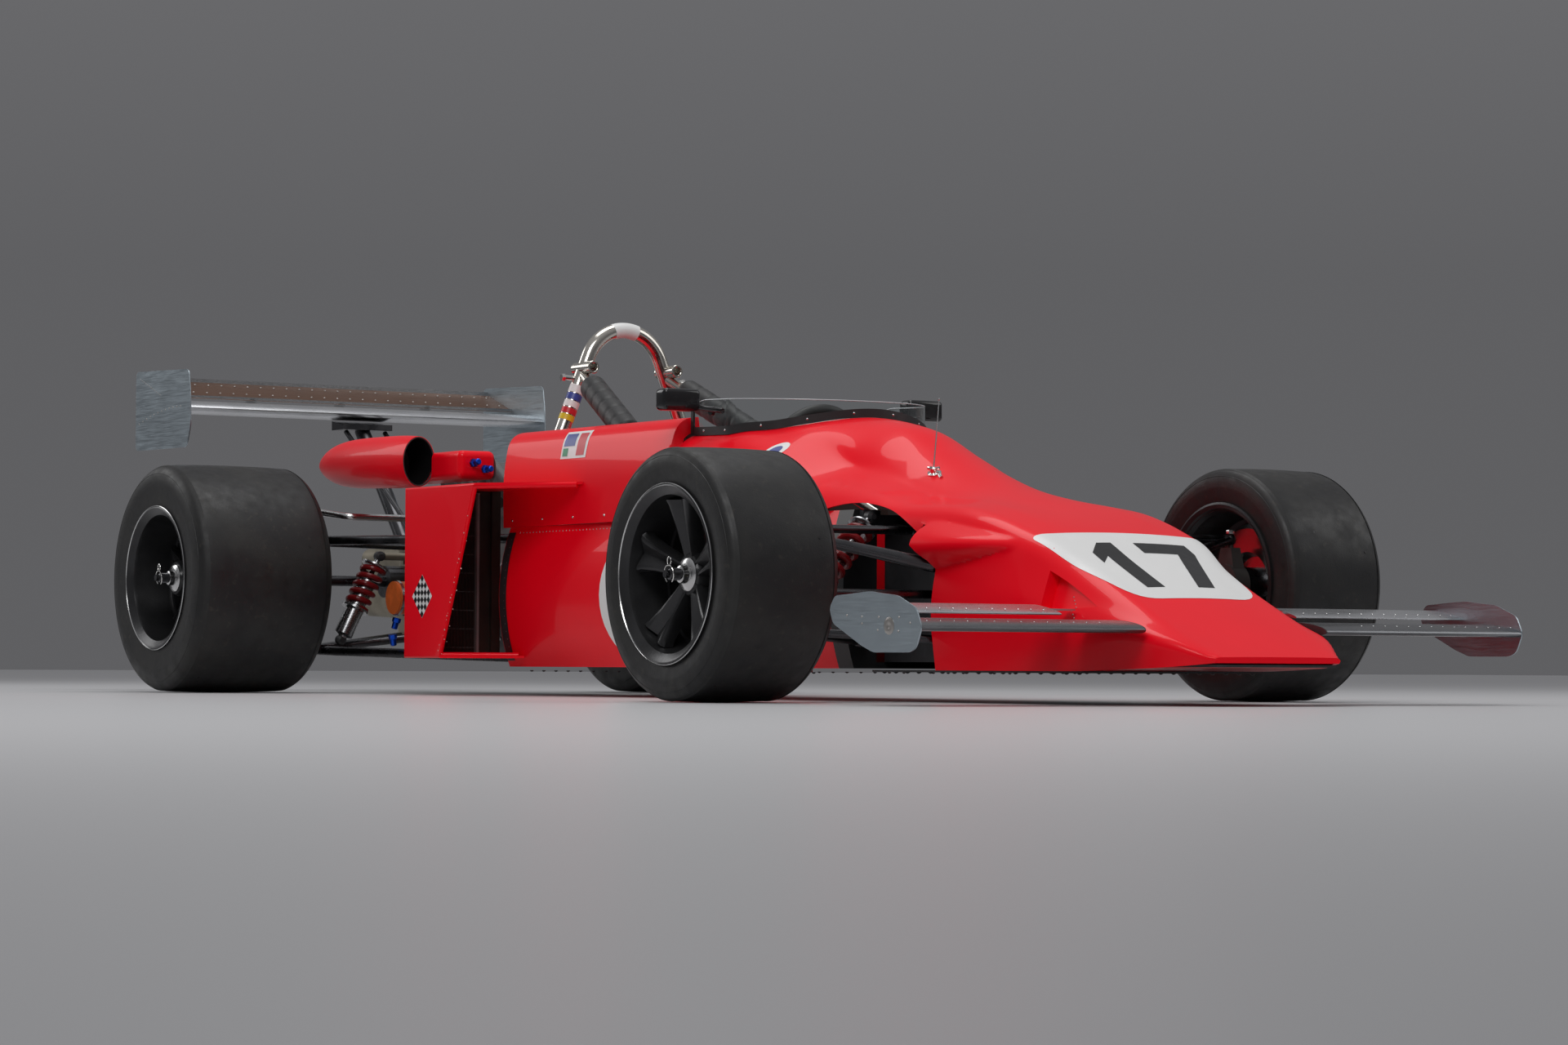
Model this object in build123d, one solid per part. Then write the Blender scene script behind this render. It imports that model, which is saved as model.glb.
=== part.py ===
"""Single-seat open wheel racing car: an aluminium tub with a one-piece glass fibre body, side
radiators, a four-cylinder engine and gearbox carried behind the tub, and wings at both ends.

Millimetres. +Z is up, the car faces -Y, +X is its left side. The origin is the middle of the
footprint at floor level. Lengths along the car are "stations": distances behind the front axle.
"""
from build123d import *
from math import cos, radians, sin, sqrt, tan
import os

os.makedirs("parts", exist_ok=True)

# ------------------------------------------------------------------ driving dimensions
WHEELBASE = 2500
FRONT_TRACK = 1425          # between the middles of the front tyres
REAR_TRACK = 1355
NOSE_OVERHANG = 906         # front axle to nose tip
TAIL_OVERHANG = 865         # rear axle to the rear edge of the wing's endplates

FRONT_TYRE_R = 259
FRONT_TYRE_W = 264
REAR_TYRE_R = 292
REAR_TYRE_W = 374
RIM_SEAT_R = 165            # 13 inch bead seat
RIM_FLANGE_R = 182.5
RIM_WALL = 6
RIM_FLANGE_T = 8

SLIT = 0.3                  # gap between pieces that nearly touch
RUN_CLEAR = 2               # between a spinning disc and its caliper

# tub and body
TUB_FRONT = 150             # stations of the tub's ends
TUB_REAR = 1610
TUB_HALF_FRONT = 312
TUB_HALF_REAR = 349
TUB_FLOOR_Z = 70
TUB_TOP_Z = 408
TUB_FLOOR_T = 14
JACK_STATION = 900          # jacking pad under the tub
JACK_DROP = 10
COCKPIT_HALF = 226          # inner half-width of the cockpit in the tub
SEAT_BACK = 1330            # station of the bulkhead behind the seat
SHELL = 5                   # wall of the glass fibre body
BODY_REAR = 1645
NOSE_JOIN = -150            # station where the nose's lower half ends

# hoop
HOOP_STATION = 1612
HOOP_TOP_Z = 925
HOOP_TUBE_R = 19
HOOP_BEND_R = 110
HOOP_LEG_LEAN = 21.5        # degrees from upright
BRACE_R = 13
PAD_R = 30

# side pods
POD_HALF = 500              # outer face
POD_REAR = 1820
POD_TOP_Z = 507
POD_BOTTOM_Z = 90
POD_TOP_FRONT = 1462
POD_BOTTOM_FRONT = 1636
POD_WALL = 6
POD_FLANGE_R = 7

# wings
FRONT_WING_HALF = 755       # outer faces of the front endplates
REAR_WING_HALF = 549
ENDPLATE_T = 3

# engine bay
ENGINE_FRONT = 1722
ENGINE_REAR = 2230
GEARBOX_REAR = WHEELBASE + 380
CRANK_Z = 190

# steering
STEER_LOCK = 18             # degrees each way at the knuckles
STEER_ARM = 110             # from the kingpin to the tie rod's pin
RACK_Z = 224

FRONT_HALF = FRONT_TRACK / 2
REAR_HALF = REAR_TRACK / 2
FRONT_AXLE_Y = (NOSE_OVERHANG - WHEELBASE - TAIL_OVERHANG) / 2
FRONT_HUB_Z = FRONT_TYRE_R
REAR_HUB_Z = REAR_TYRE_R
SIDES = (("left", 1), ("right", -1))


# ------------------------------------------------------------------ helpers
def at(station):
    """The y of a station."""
    return FRONT_AXLE_Y + station


def point(x, station, z):
    return Vector(x, at(station), z)


def rod(start, end, radius, end_radius=None):
    """A round bar between two points, tapered where end_radius is given."""
    axis = end - start
    plane = Plane(origin=start, z_dir=axis.normalized())
    if end_radius is None:
        return plane * Cylinder(radius, axis.length, align=(Align.CENTER, Align.CENTER, Align.MIN))
    return plane * Cone(radius, end_radius, axis.length, align=(Align.CENTER, Align.CENTER, Align.MIN))


def ball(centre, radius):
    return Pos(*centre) * Sphere(radius)


def block(x, station, z, width, length, height):
    """A box given by its centre and its sizes along X, Y and Z."""
    return Pos(x, at(station), z) * Box(width, length, height)


def bar_x(x0, x1, station, z, radius):
    """A round bar along X."""
    return rod(point(x0, station, z), point(x1, station, z), radius)


def side_plate(x, corners, thickness, round_r=0):
    """A flat plate across X whose outline is a list of (station, z)."""
    sketch = make_face(Polyline([(at(s), z) for s, z in corners], close=True))
    if round_r:
        sketch = fillet(sketch.vertices(), round_r)
    plane = Plane(origin=(x, 0, 0), x_dir=(0, 1, 0), z_dir=(1, 0, 0))
    return extrude(plane * sketch, thickness / 2, both=True)


def top_plate(z, corners, thickness, round_r=0):
    """A flat plate across Z whose outline is a list of (x, station)."""
    sketch = make_face(Polyline([(x, at(s)) for x, s in corners], close=True))
    if round_r:
        sketch = fillet(sketch.vertices(), round_r)
    return extrude(Pos(0, 0, z) * sketch, thickness / 2, both=True)


def bent_tube(points, radius, bend_r):
    """A bar that follows straight runs joined by arcs."""
    path = FilletPolyline(points, radius=bend_r)
    start = Plane(origin=path @ 0, z_dir=path % 0)
    return sweep(start * Circle(radius), path=path)


def both_sides(solid):
    """A piece and its mirror image across the car."""
    return [solid, mirror(solid, about=Plane.YZ)]


def solids_of(shapes):
    found = []
    for shape in shapes:
        found.extend(shape.solids())
    return found


def write(name, *shapes):
    """Writes one sub-part; its solids don't touch unless they were fused before."""
    kept = solids_of(shapes)
    shape = kept[0] if len(kept) == 1 else Compound(kept)
    export_step(shape, f"parts/{name}.step")


def join(*shapes):
    """Fuses touching shapes into one."""
    first, *rest = shapes
    return first.fuse(*rest) if rest else first


# ------------------------------------------------------------------ wheels
# car ends: name, station, hub height, half track, tyre radius, tyre width, tread share of width
ENDS = (
    ("front", 0, FRONT_HUB_Z, FRONT_HALF, FRONT_TYRE_R, FRONT_TYRE_W, 0.84),
    ("rear", WHEELBASE, REAR_HUB_Z, REAR_HALF, REAR_TYRE_R, REAR_TYRE_W, 0.88),
)
# middles of the uprights and brake discs, outward from the tyre's middle
FRONT_UPRIGHT_U = -95
REAR_UPRIGHT_U = -165
DISC_OFFSET = 53            # disc outward from its upright
CROWN = 5                   # drop of the tread at its edges
STUB_R = 22                 # axle in the upright's bearing
HUB_R = 44
DISC_R = 126
DISC_T = 12
BEARING_HALF = 20


def tyre_profile(radius, width, tread):
    half = width / 2
    bead = half - RIM_FLANGE_T - SLIT
    edge = tread * half
    shoulder_r = radius - CROWN
    wall_r = (RIM_FLANGE_R + shoulder_r) / 2
    lift = RIM_FLANGE_R + 3
    points = (
        Polyline((-bead, lift), (-bead, RIM_SEAT_R + SLIT), (bead, RIM_SEAT_R + SLIT), (bead, lift))
        + ThreePointArc((bead, lift), (half - 1, wall_r - 8), (half - 2, wall_r + 14))
        + ThreePointArc((half - 2, wall_r + 14), (half - 8, shoulder_r - 8), (edge, shoulder_r))
        + ThreePointArc((edge, shoulder_r), (0, radius), (-edge, shoulder_r))
        + ThreePointArc((-edge, shoulder_r), (8 - half, shoulder_r - 8), (2 - half, wall_r + 14))
        + ThreePointArc((2 - half, wall_r + 14), (1 - half, wall_r - 8), (-bead, lift))
    )
    return points


def rim_profile(width, step_u, step_r):
    """Barrel with a flange at each edge and a step down to the wheel's centre."""
    half = width / 2
    inner = RIM_SEAT_R - RIM_WALL
    return Polyline(
        (-half, RIM_FLANGE_R - RIM_FLANGE_T),
        (-half, RIM_FLANGE_R),
        (RIM_FLANGE_T - half, RIM_FLANGE_R),
        (RIM_FLANGE_T - half, RIM_SEAT_R),
        (half - RIM_FLANGE_T, RIM_SEAT_R),
        (half - RIM_FLANGE_T, RIM_FLANGE_R),
        (half, RIM_FLANGE_R),
        (half, RIM_FLANGE_R - RIM_FLANGE_T),
        (half - 14, inner),
        (step_u + 16, inner - step_r / 4),
        (step_u, inner - step_r),
        (step_u - 16, inner),
        (14 - half, inner),
        close=True,
    )


def spoke(angle, hub_u, rim_u, hub_w, rim_w, reach):
    """A tapered spoke with a raised ridge along its outer face."""
    sections = []
    for r, u, w, depth in ((HUB_R - 12, hub_u, hub_w, 34), (reach, rim_u, rim_w, 22)):
        back, edge, ridge = -(u - depth / 2), -(u - depth / 6), -(u + depth / 2)
        outline = Polyline((-w / 2, back), (w / 2, back), (w / 2, edge), (0, ridge), (-w / 2, edge), close=True)
        plane = Plane(origin=(0, 0, r), x_dir=(0, 1, 0), z_dir=(0, 0, 1))
        sections.append(plane * make_face(outline))
    return Rot(angle, 0, 0) * loft(sections, ruled=True)


def wheel_centre_front():
    hub = make_face(Polyline(
        (FRONT_UPRIGHT_U - 26, 0), (FRONT_UPRIGHT_U - 26, STUB_R), (FRONT_UPRIGHT_U + 29, STUB_R),
        (FRONT_UPRIGHT_U + 29, HUB_R - 4), (30, HUB_R - 4), (30, HUB_R), (78, HUB_R), (84, 36),
        (98, 34), (112, 20), (112, 12), (128, 12), (128, 0), close=True,
    ))
    centre = revolve(hub, Axis.X)
    for index in range(5):
        centre += spoke(90 + 72 * index, 60, 48, 40, 25, RIM_SEAT_R - RIM_WALL + 3)
    return centre


def wheel_centre_rear():
    """A dished disc with webs, set deep inside the wide barrel."""
    hub = make_face(Polyline(
        (REAR_UPRIGHT_U - 26, 0), (REAR_UPRIGHT_U - 26, STUB_R), (REAR_UPRIGHT_U + 29, STUB_R),
        (REAR_UPRIGHT_U + 29, HUB_R - 4), (0, HUB_R - 4), (0, HUB_R), (52, HUB_R), (58, 36),
        (72, 34), (88, 20), (88, 12), (112, 12), (112, 0), close=True,
    ))
    centre = revolve(hub, Axis.X)
    for index in range(5):
        centre += spoke(90 + 72 * index, 34, 40, 50, 40, RIM_SEAT_R - RIM_WALL + 3)
    return centre


def brake_disc(u):
    """Disc on a bell that is bolted to the hub."""
    half = DISC_T / 2
    bell = Polyline(
        (u - half, 72), (u - half, DISC_R), (u + half, DISC_R), (u + half, 78),
        (u + 28, 70), (u + 28, HUB_R - 8), (u + 20, HUB_R - 8), (u + 20, 64), close=True,
    )
    return revolve(make_face(bell), Axis.X)


def wheels():
    for end, station, hub_z, half_track, radius, width, tread in ENDS:
        front = end == "front"
        centre = wheel_centre_front() if front else wheel_centre_rear()
        step = (48, 22) if front else (40, 26)
        rim = revolve(make_face(rim_profile(width, *step)), Axis.X)
        upright_u = FRONT_UPRIGHT_U if front else REAR_UPRIGHT_U
        wheel = join(rim, centre, brake_disc(upright_u + DISC_OFFSET))
        tyre = revolve(make_face(tyre_profile(radius, width, tread)), Axis.X)
        for side, sign in SIDES:
            place = Pos(sign * half_track, at(station), hub_z)
            for name, solid in (("wheel", wheel), ("tyre", tyre)):
                turned = solid if sign > 0 else mirror(solid, about=Plane.YZ)
                write(f"{name}_{end}_{side}", place * turned)


# ------------------------------------------------------------------ front uprights and steering
KINGPIN_X = FRONT_HALF + FRONT_UPRIGHT_U
BALL_TOP = 100              # above and below the axle
BALL_BOTTOM = -109
BALL_R = 13
BORE_CLEAR = 0.3


def caliper(station, hub_z, upright_x, angle):
    """A block that straddles the disc, on a lug of the upright."""
    mid_r = DISC_R - 18
    disc_x = upright_x + DISC_OFFSET
    body = Pos(disc_x, at(station), hub_z) * Rot(angle, 0, 0) * (
        Pos(0, 0, mid_r) * Box(DISC_T + 2 * RUN_CLEAR + 44, 84, 56)
        - Pos(0, 0, mid_r - 20) * Box(DISC_T + 2 * RUN_CLEAR, 100, 60 + 2 * RUN_CLEAR)
    )
    lug = Pos(upright_x, at(station), hub_z) * Rot(angle, 0, 0) * (
        Pos(14, 0, mid_r - 31) * Box(34, 50, 74)
    )
    clear = Pos(disc_x, at(station), hub_z) * Rot(0, 90, 0) * Cylinder(
        DISC_R + RUN_CLEAR, DISC_T + 2 * RUN_CLEAR
    )
    return join(body, lug) - clear


def upright(station, hub_z, x, low, high):
    """A cast upright with the bearing housing, without its ball joints."""
    housing = bar_x(x - BEARING_HALF, x + BEARING_HALF, station, hub_z, 46)
    web = loft([
        Pos(x, at(station), hub_z + low) * Rectangle(26, 44),
        Pos(x, at(station), hub_z) * Rectangle(36, 76),
    ], ruled=True)
    web += loft([
        Pos(x, at(station), hub_z) * Rectangle(36, 76),
        Pos(x, at(station), hub_z + high) * Rectangle(26, 36),
    ], ruled=True)
    bore = bar_x(x - 60, x + 60, station, hub_z, STUB_R + BORE_CLEAR)
    return join(housing, web) - bore


def steering_knuckles():
    arm_tip = point(KINGPIN_X - 6, -STEER_ARM, RACK_Z - 16)
    body = upright(0, FRONT_HUB_Z, KINGPIN_X, BALL_BOTTOM + 18, BALL_TOP - 18)
    arm = rod(point(KINGPIN_X, -20, RACK_Z - 16), arm_tip, 7)
    arm += ball(arm_tip, 12) & block(KINGPIN_X - 6, -STEER_ARM, RACK_Z - 16, 40, 40, 16)
    body = join(body, arm, caliper(0, FRONT_HUB_Z, KINGPIN_X, -90 - 22))
    for sign in (1, -1):
        height = FRONT_HUB_Z + (BALL_TOP if sign > 0 else BALL_BOTTOM)
        stud = rod(point(KINGPIN_X, 0, height - sign * 24), point(KINGPIN_X, 0, height - sign * 8), 7)
        body = join(body, stud)
    body -= ball(point(KINGPIN_X, 0, FRONT_HUB_Z + BALL_TOP), BALL_R + SLIT)
    body -= ball(point(KINGPIN_X, 0, FRONT_HUB_Z + BALL_BOTTOM), BALL_R + SLIT)
    for side, sign in SIDES:
        solid = body if sign > 0 else mirror(body, about=Plane.YZ)
        write(f"knuckle_{side}", solid)


# rack: housing on the bulkhead, bar and tie rods that slide across the car
RACK_STATION = -STEER_ARM
RACK_BAR_R = 9
RACK_HOUSING_R = 18
RACK_HOUSING_HALF = 190
STEER_WHEEL_R = 132
COLUMN_TOP = point(0, 742, 548)
COLUMN_BOTTOM = point(0, RACK_STATION, RACK_Z + 34.8)
COLUMN_R = 9


def rack():
    half = KINGPIN_X - 6
    bar = bar_x(-half + 14, half - 14, RACK_STATION, RACK_Z, RACK_BAR_R)
    for sign in (1, -1):
        eye = point(sign * half, RACK_STATION, RACK_Z)
        bar = join(bar, Pos(*eye) * Cylinder(15, 15))
    write("rack_bar", bar)


def column():
    shaft = rod(COLUMN_BOTTOM, COLUMN_TOP, COLUMN_R)
    joint_at = COLUMN_BOTTOM + (COLUMN_TOP - COLUMN_BOTTOM) * 0.42
    direction = (COLUMN_TOP - COLUMN_BOTTOM).normalized()
    shaft = join(shaft, rod(joint_at - direction * 24, joint_at + direction * 24, 17))
    write("steering_column", shaft)
    plane = Plane(origin=COLUMN_TOP, z_dir=direction, x_dir=(1, 0, 0))
    rim = plane * Torus(STEER_WHEEL_R - 13, 13)
    hub = plane * Pos(0, 0, 5) * Cylinder(30, 14)
    wheel = join(rim, hub)
    for angle in (0, 90, 180):
        wheel = join(wheel, plane * Rot(0, 0, angle) * Pos(STEER_WHEEL_R / 2, 0, 4) * Box(STEER_WHEEL_R - 34, 30, 5))
    wheel -= rod(COLUMN_BOTTOM, COLUMN_TOP + direction * 0.01, COLUMN_R + 0.02)
    write("steering_wheel", wheel)


# ------------------------------------------------------------------ tub and body
def tub_section(station, half, floor_z=TUB_FLOOR_Z, top_z=TUB_TOP_Z, inset=0):
    foot = 0.91 * half - inset
    middle = (floor_z + top_z) / 2
    edge = (
        Line((-foot, floor_z), (foot, floor_z))
        + ThreePointArc((foot, floor_z), (half - inset, middle), (foot, top_z))
        + Line((foot, top_z), (-foot, top_z))
        + ThreePointArc((-foot, top_z), (inset - half, middle), (-foot, floor_z))
    )
    plane = Plane(origin=(0, at(station), 0), x_dir=(1, 0, 0), z_dir=(0, -1, 0))
    return plane * make_face(edge)


def tub():
    solid = loft([tub_section(TUB_FRONT, TUB_HALF_FRONT), tub_section(TUB_REAR, TUB_HALF_REAR)], ruled=True)
    length = SEAT_BACK - TUB_FRONT + 40
    cavity_z = (TUB_FLOOR_Z + TUB_FLOOR_T + TUB_TOP_Z + 40) / 2
    cavity = block(
        0, (SEAT_BACK + TUB_FRONT - 40) / 2, cavity_z, 2 * COCKPIT_HALF, length,
        TUB_TOP_Z + 40 - TUB_FLOOR_Z - TUB_FLOOR_T,
    )
    jack_pad = block(0, JACK_STATION, TUB_FLOOR_Z - JACK_DROP / 2 + 1, 160, 60, JACK_DROP + 2)
    return join(solid - cavity, jack_pad)


# ahead of the nose join and behind it. Columns: station, then half-widths and heights of the
# section: top z, shoulder x, shoulder z, waist x, waist z, foot x, foot z
JOINT_Z = TUB_TOP_Z + SLIT
NOSE = (
    (-NOSE_OVERHANG, 96, 150, 95, 158, 90, 154, 84),
    (-783, 156, 168, 153, 222, 140, 212, 74),
    (-524, 284, 190, 276, 254, 170, 240, 67),
    (-393, 350, 228, 342, 276, 180, 256, 67),
    (NOSE_JOIN, 424, 258, 404, 298, 190, 282, 67),
)
# the cowl's rows have the edge of its raised middle after the top z: hump x, hump z
COWL = (
    (NOSE_JOIN, 424, 150, 418, 258, 404, 279, 290, 279, 270),
    (0, 466, 150, 432, 278, 410, 296, 350, 296, 270),
    (110, 507, 150, 454, 284, 432, 302, 372, 302, 270),
    (210, 551, 150, 486, 284, 442, 308, 404, 312, 270),
    (330, 604, 160, 508, 276, 462, 312, 442, 317, JOINT_Z),
    (520, 634, 180, 600, 270, 548, 318, 500, 320, JOINT_Z),
    (780, 650, 200, 646, 292, 638, 321, 530, 322, JOINT_Z),
    (BODY_REAR, 652, 200, 648, 302, 641, 321, 530, 318, JOINT_Z),
)
ARCH = ((262, JOINT_Z), (120, 421), (NOSE_JOIN, 292))   # lower edge over the front suspension
OPENING_R = 244             # cockpit opening: front arc, its centre's station, half-width, rear
OPENING_CENTRE = 764
OPENING_HALF = 236
OPENING_REAR = 1450
SCREEN_GAP = 22             # screen's outer face, outside the opening's edge
SCREEN_T = 4
SCREEN_REAR = 850
SCREEN_TOP = ((500, 668), (850, 680))                   # (station, z) of the screen's top edge
TRIM_H = 17
TRIM_T = 3
BULGE = ((286, -146, 326, 39), (262, -372, 324, 8))     # fairing's ends: x, station, z, radius


def body_section(row, inset=0):
    """One section of the body; inset draws its inner face."""
    station, top_z, *hump, shoulder_x, shoulder_z, waist_x, waist_z, foot_x, foot_z = row
    if not hump:
        hump = (0.6 * shoulder_x, top_z - 0.36 * (top_z - shoulder_z))
    shoulder = (shoulder_x - inset, shoulder_z - inset)
    waist = (waist_x - inset, waist_z)
    closed_below = foot_z < TUB_FLOOR_Z + 20
    foot = (foot_x - inset, foot_z + (inset if closed_below else -1 if inset else 0))
    crest = (hump[0], hump[1] - inset)
    right = [crest, shoulder, waist, foot]
    left = [(-x, z) for x, z in reversed(right)]
    edge = ThreePointArc(left[-1], (0, top_z - inset), crest) + Polyline(*right, *left)
    plane = Plane(origin=(0, at(station), 0), x_dir=(1, 0, 0), z_dir=(0, -1, 0))
    return plane * make_face(edge)


def blend_row(rows, station):
    """The section between two rows of a table."""
    for low, high in zip(rows, rows[1:]):
        if low[0] <= station <= high[0]:
            share = (station - low[0]) / (high[0] - low[0])
            return (station,) + tuple(a + share * (b - a) for a, b in zip(low[1:], high[1:]))
    return rows[-1]


def body_loft(rows, inset=0):
    return loft([body_section(row, inset) for row in rows], ruled=True)


def bulges(shrink=0):
    """Fairings over the front pickups of the upper wishbones."""
    (x0, s0, z0, r0), (x1, s1, z1, r1) = BULGE
    return both_sides(rod(point(x0, s0, z0), point(x1, s1, z1), r0 - shrink, r1 - shrink / 2))


def body_outside():
    """The body as if it were solid, which the screen and the wing roots are cut to."""
    return join(body_loft(NOSE), body_loft(COWL), *bulges())


def body_inside():
    nose_in = [blend_row(NOSE, 60 - NOSE_OVERHANG)] + list(NOSE[1:])
    last = (BODY_REAR + 5,) + COWL[-1][1:]
    cowl_in = list(COWL[:-1]) + [last]
    return join(body_loft(nose_in, SHELL), body_loft(cowl_in, SHELL), *bulges(SHELL))


def opening_outline(grow=0):
    """The cockpit opening in plan: an arc at the front and straight sides."""
    radius = OPENING_R + grow
    half = OPENING_HALF + grow
    front = OPENING_CENTRE + sqrt(radius * radius - half * half) * -1
    arc = ThreePointArc((-half, at(front)), (0, at(OPENING_CENTRE - radius)), (half, at(front)))
    return arc, half, front


def opening_cut():
    arc, half, front = opening_outline()
    rest = Polyline((half, at(front)), (half, at(OPENING_REAR)), (-half, at(OPENING_REAR)), (-half, at(front)))
    return extrude(Pos(0, 0, TUB_TOP_Z + 60) * make_face(arc + rest), 400)


def screen_ring(outer, inner):
    """A curved wall in plan between two offsets of the cockpit opening."""
    out_arc, out_half, out_front = opening_outline(outer)
    in_arc, in_half, in_front = opening_outline(inner)
    face = make_face(
        out_arc
        + Polyline((out_half, at(out_front)), (out_half, at(SCREEN_REAR)), (in_half, at(SCREEN_REAR)), (in_half, at(in_front)))
        + in_arc
        + Polyline((-in_half, at(in_front)), (-in_half, at(SCREEN_REAR)), (-out_half, at(SCREEN_REAR)), (-out_half, at(out_front)))
    )
    return extrude(Pos(0, 0, 520) * face, 260)


def bodywork(outside):
    shell = outside - body_inside()
    shell -= opening_cut()
    (s0, z0), (s1, z1), (s2, z2) = ARCH
    arch = make_face(
        ThreePointArc((at(s0), z0), (at(s1), z1), (at(s2), z2))
        + Polyline((at(s2), z2), (at(s2), 0), (at(s0), 0), (at(s0), z0))
    )
    plane = Plane(origin=(0, 0, 0), x_dir=(0, 1, 0), z_dir=(1, 0, 0))
    shell -= extrude(plane * arch, 600, both=True)
    for leg in hoop_legs(HOOP_TUBE_R + 3):
        shell -= leg
    return shell


def windscreen(outside):
    (s0, z0), (s1, z1) = SCREEN_TOP
    below = side_plate(0, [(s0, 400), (s1 + 100, 400), (s1 + 100, z1), (s1, z1), (s0, z0)], 900)
    screen = (screen_ring(SCREEN_GAP, SCREEN_GAP - SCREEN_T) & below) - Pos(0, 0, SLIT) * outside
    trim = screen_ring(SCREEN_GAP + TRIM_T, SCREEN_GAP) & (Pos(0, 0, TRIM_H) * outside)
    return screen, trim - Pos(0, 0, SLIT) * outside


# ------------------------------------------------------------------ roll hoop
def hoop_line():
    """Tangent point of the top bend, and where a leg meets the tub."""
    lean = radians(HOOP_LEG_LEAN)
    bend_z = HOOP_TOP_Z - HOOP_TUBE_R - HOOP_BEND_R
    tangent = (HOOP_BEND_R * cos(lean), bend_z + HOOP_BEND_R * sin(lean))
    foot_z = TUB_TOP_Z + 8
    foot = (tangent[0] + tan(lean) * (tangent[1] - foot_z), foot_z)
    return tangent, foot


def hoop_legs(radius):
    (tx, tz), (fx, fz) = hoop_line()
    return [rod(point(sign * fx, HOOP_STATION, fz), point(sign * tx, HOOP_STATION, tz), radius) for _, sign in SIDES]


def hoop_x(z):
    """Half-width of the hoop's centreline on its straight legs."""
    (tx, tz), _ = hoop_line()
    return tx + tan(radians(HOOP_LEG_LEAN)) * (tz - z)


BOSS_Z = 792
SOCKET_LIFT = 14            # open socket in front of the hoop, above each brace
SOCKET_MOUTH = 58
SOCKET_DEPTH = 34
SOCKET_R = 10
BRACE_FOOT = (262, 866)     # x and station where a forward brace meets the tub
PAD_FROM, PAD_TO = 0.10, 0.46   # share of the brace that the pad wraps


def brace_ends():
    top = point(hoop_x(BOSS_Z), HOOP_STATION, BOSS_Z)
    return top, point(BRACE_FOOT[0], BRACE_FOOT[1], TUB_TOP_Z + 26)


def roll_hoop():
    (tx, tz), (fx, fz) = hoop_line()
    path = (
        Line(point(-fx, HOOP_STATION, fz), point(-tx, HOOP_STATION, tz))
        + ThreePointArc(
            point(-tx, HOOP_STATION, tz), point(0, HOOP_STATION, HOOP_TOP_Z - HOOP_TUBE_R), point(tx, HOOP_STATION, tz)
        )
        + Line(point(tx, HOOP_STATION, tz), point(fx, HOOP_STATION, fz))
    )
    start = Plane(origin=path @ 0, z_dir=path % 0)
    hoop = sweep(start * Circle(HOOP_TUBE_R), path=path)
    for _, sign in SIDES:
        foot_plate = block(sign * fx, TUB_REAR - 38, TUB_TOP_Z + SLIT + 4, 62, 74, 8)
        top, foot = brace_ends()
        top = Vector(top.X * sign, top.Y, top.Z)
        foot = Vector(foot.X * sign, foot.Y, foot.Z)
        brace = rod(top, foot, BRACE_R)
        brace_plate = join(
            block(sign * BRACE_FOOT[0], BRACE_FOOT[1], TUB_TOP_Z + SLIT + 4, 50, 60, 8),
            block(sign * BRACE_FOOT[0], BRACE_FOOT[1], TUB_TOP_Z + 20, 30, 30, 30),
        )
        mouth = top + Vector(0, -SOCKET_MOUTH, SOCKET_LIFT)
        boss = rod(mouth, mouth + Vector(0, SOCKET_MOUTH + 30, 0), 16)
        hoop = join(hoop, foot_plate, brace, brace_plate, boss) - rod(mouth, mouth + Vector(0, SOCKET_DEPTH, 0), SOCKET_R)
    return hoop


def brace_pads():
    top, foot = brace_ends()
    start = top + (foot - top) * PAD_FROM
    end = top + (foot - top) * PAD_TO
    return both_sides(rod(start, end, PAD_R) - rod(start, end, BRACE_R + SLIT))


# ------------------------------------------------------------------ cockpit
DASH_STATION = 610


def dash_panel():
    corners = (
        (290, JOINT_Z), (290, 530), (226, 586), (-226, 586), (-290, 530), (-290, JOINT_Z),
        (-240, JOINT_Z), (-214, 455), (214, 455), (240, JOINT_Z),
    )
    plane = Plane(origin=(0, at(DASH_STATION), 0), x_dir=(1, 0, 0), z_dir=(0, -1, 0))
    panel = extrude(plane * make_face(Polyline(*corners, close=True)), 5)
    direction = (COLUMN_TOP - COLUMN_BOTTOM).normalized()
    panel -= rod(COLUMN_BOTTOM, COLUMN_TOP - direction * 40, COLUMN_R + 6)
    # rev counter in the middle above the column, smaller dials beside it
    for x, z, radius in ((0, 556, 36), (-92, 548, 25), (92, 548, 25), (-152, 520, 25), (152, 520, 25)):
        panel = join(panel, rod(point(x, DASH_STATION - 40, z), point(x, DASH_STATION + 8, z), radius))
    return panel


def seat():
    floor = TUB_FLOOR_Z + TUB_FLOOR_T + SLIT
    outline = (
        (690, floor), (1130, floor), (SEAT_BACK - SLIT, 330), (SEAT_BACK - SLIT, 560),
        (SEAT_BACK - 26, 560), (SEAT_BACK - 34, 352), (1104, floor + 42), (690, floor + 26),
    )
    middle = side_plate(0, outline, 330)
    bolster_line = (
        (690, floor), (1130, floor), (SEAT_BACK - SLIT, 330), (SEAT_BACK - SLIT, 520),
        (SEAT_BACK - 70, 500), (SEAT_BACK - 90, 370), (1060, floor + 110), (690, floor + 56),
    )
    bolsters = both_sides(side_plate(165 + 22, bolster_line, 44, 8))
    return join(middle, *bolsters)


def mirrors():
    shell = fillet(Box(96, 46, 50).edges(), 9)
    head = Pos(334, at(797), 675) * shell
    screen_x = OPENING_HALF + SCREEN_GAP + TRIM_T + SLIT
    stalk = rod(point(screen_x + 4, 762, 650), point(306, 790, 668), 5)
    foot = bar_x(screen_x, screen_x + 8, 762, 650, 11)
    return both_sides(join(head, stalk, foot))


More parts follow.
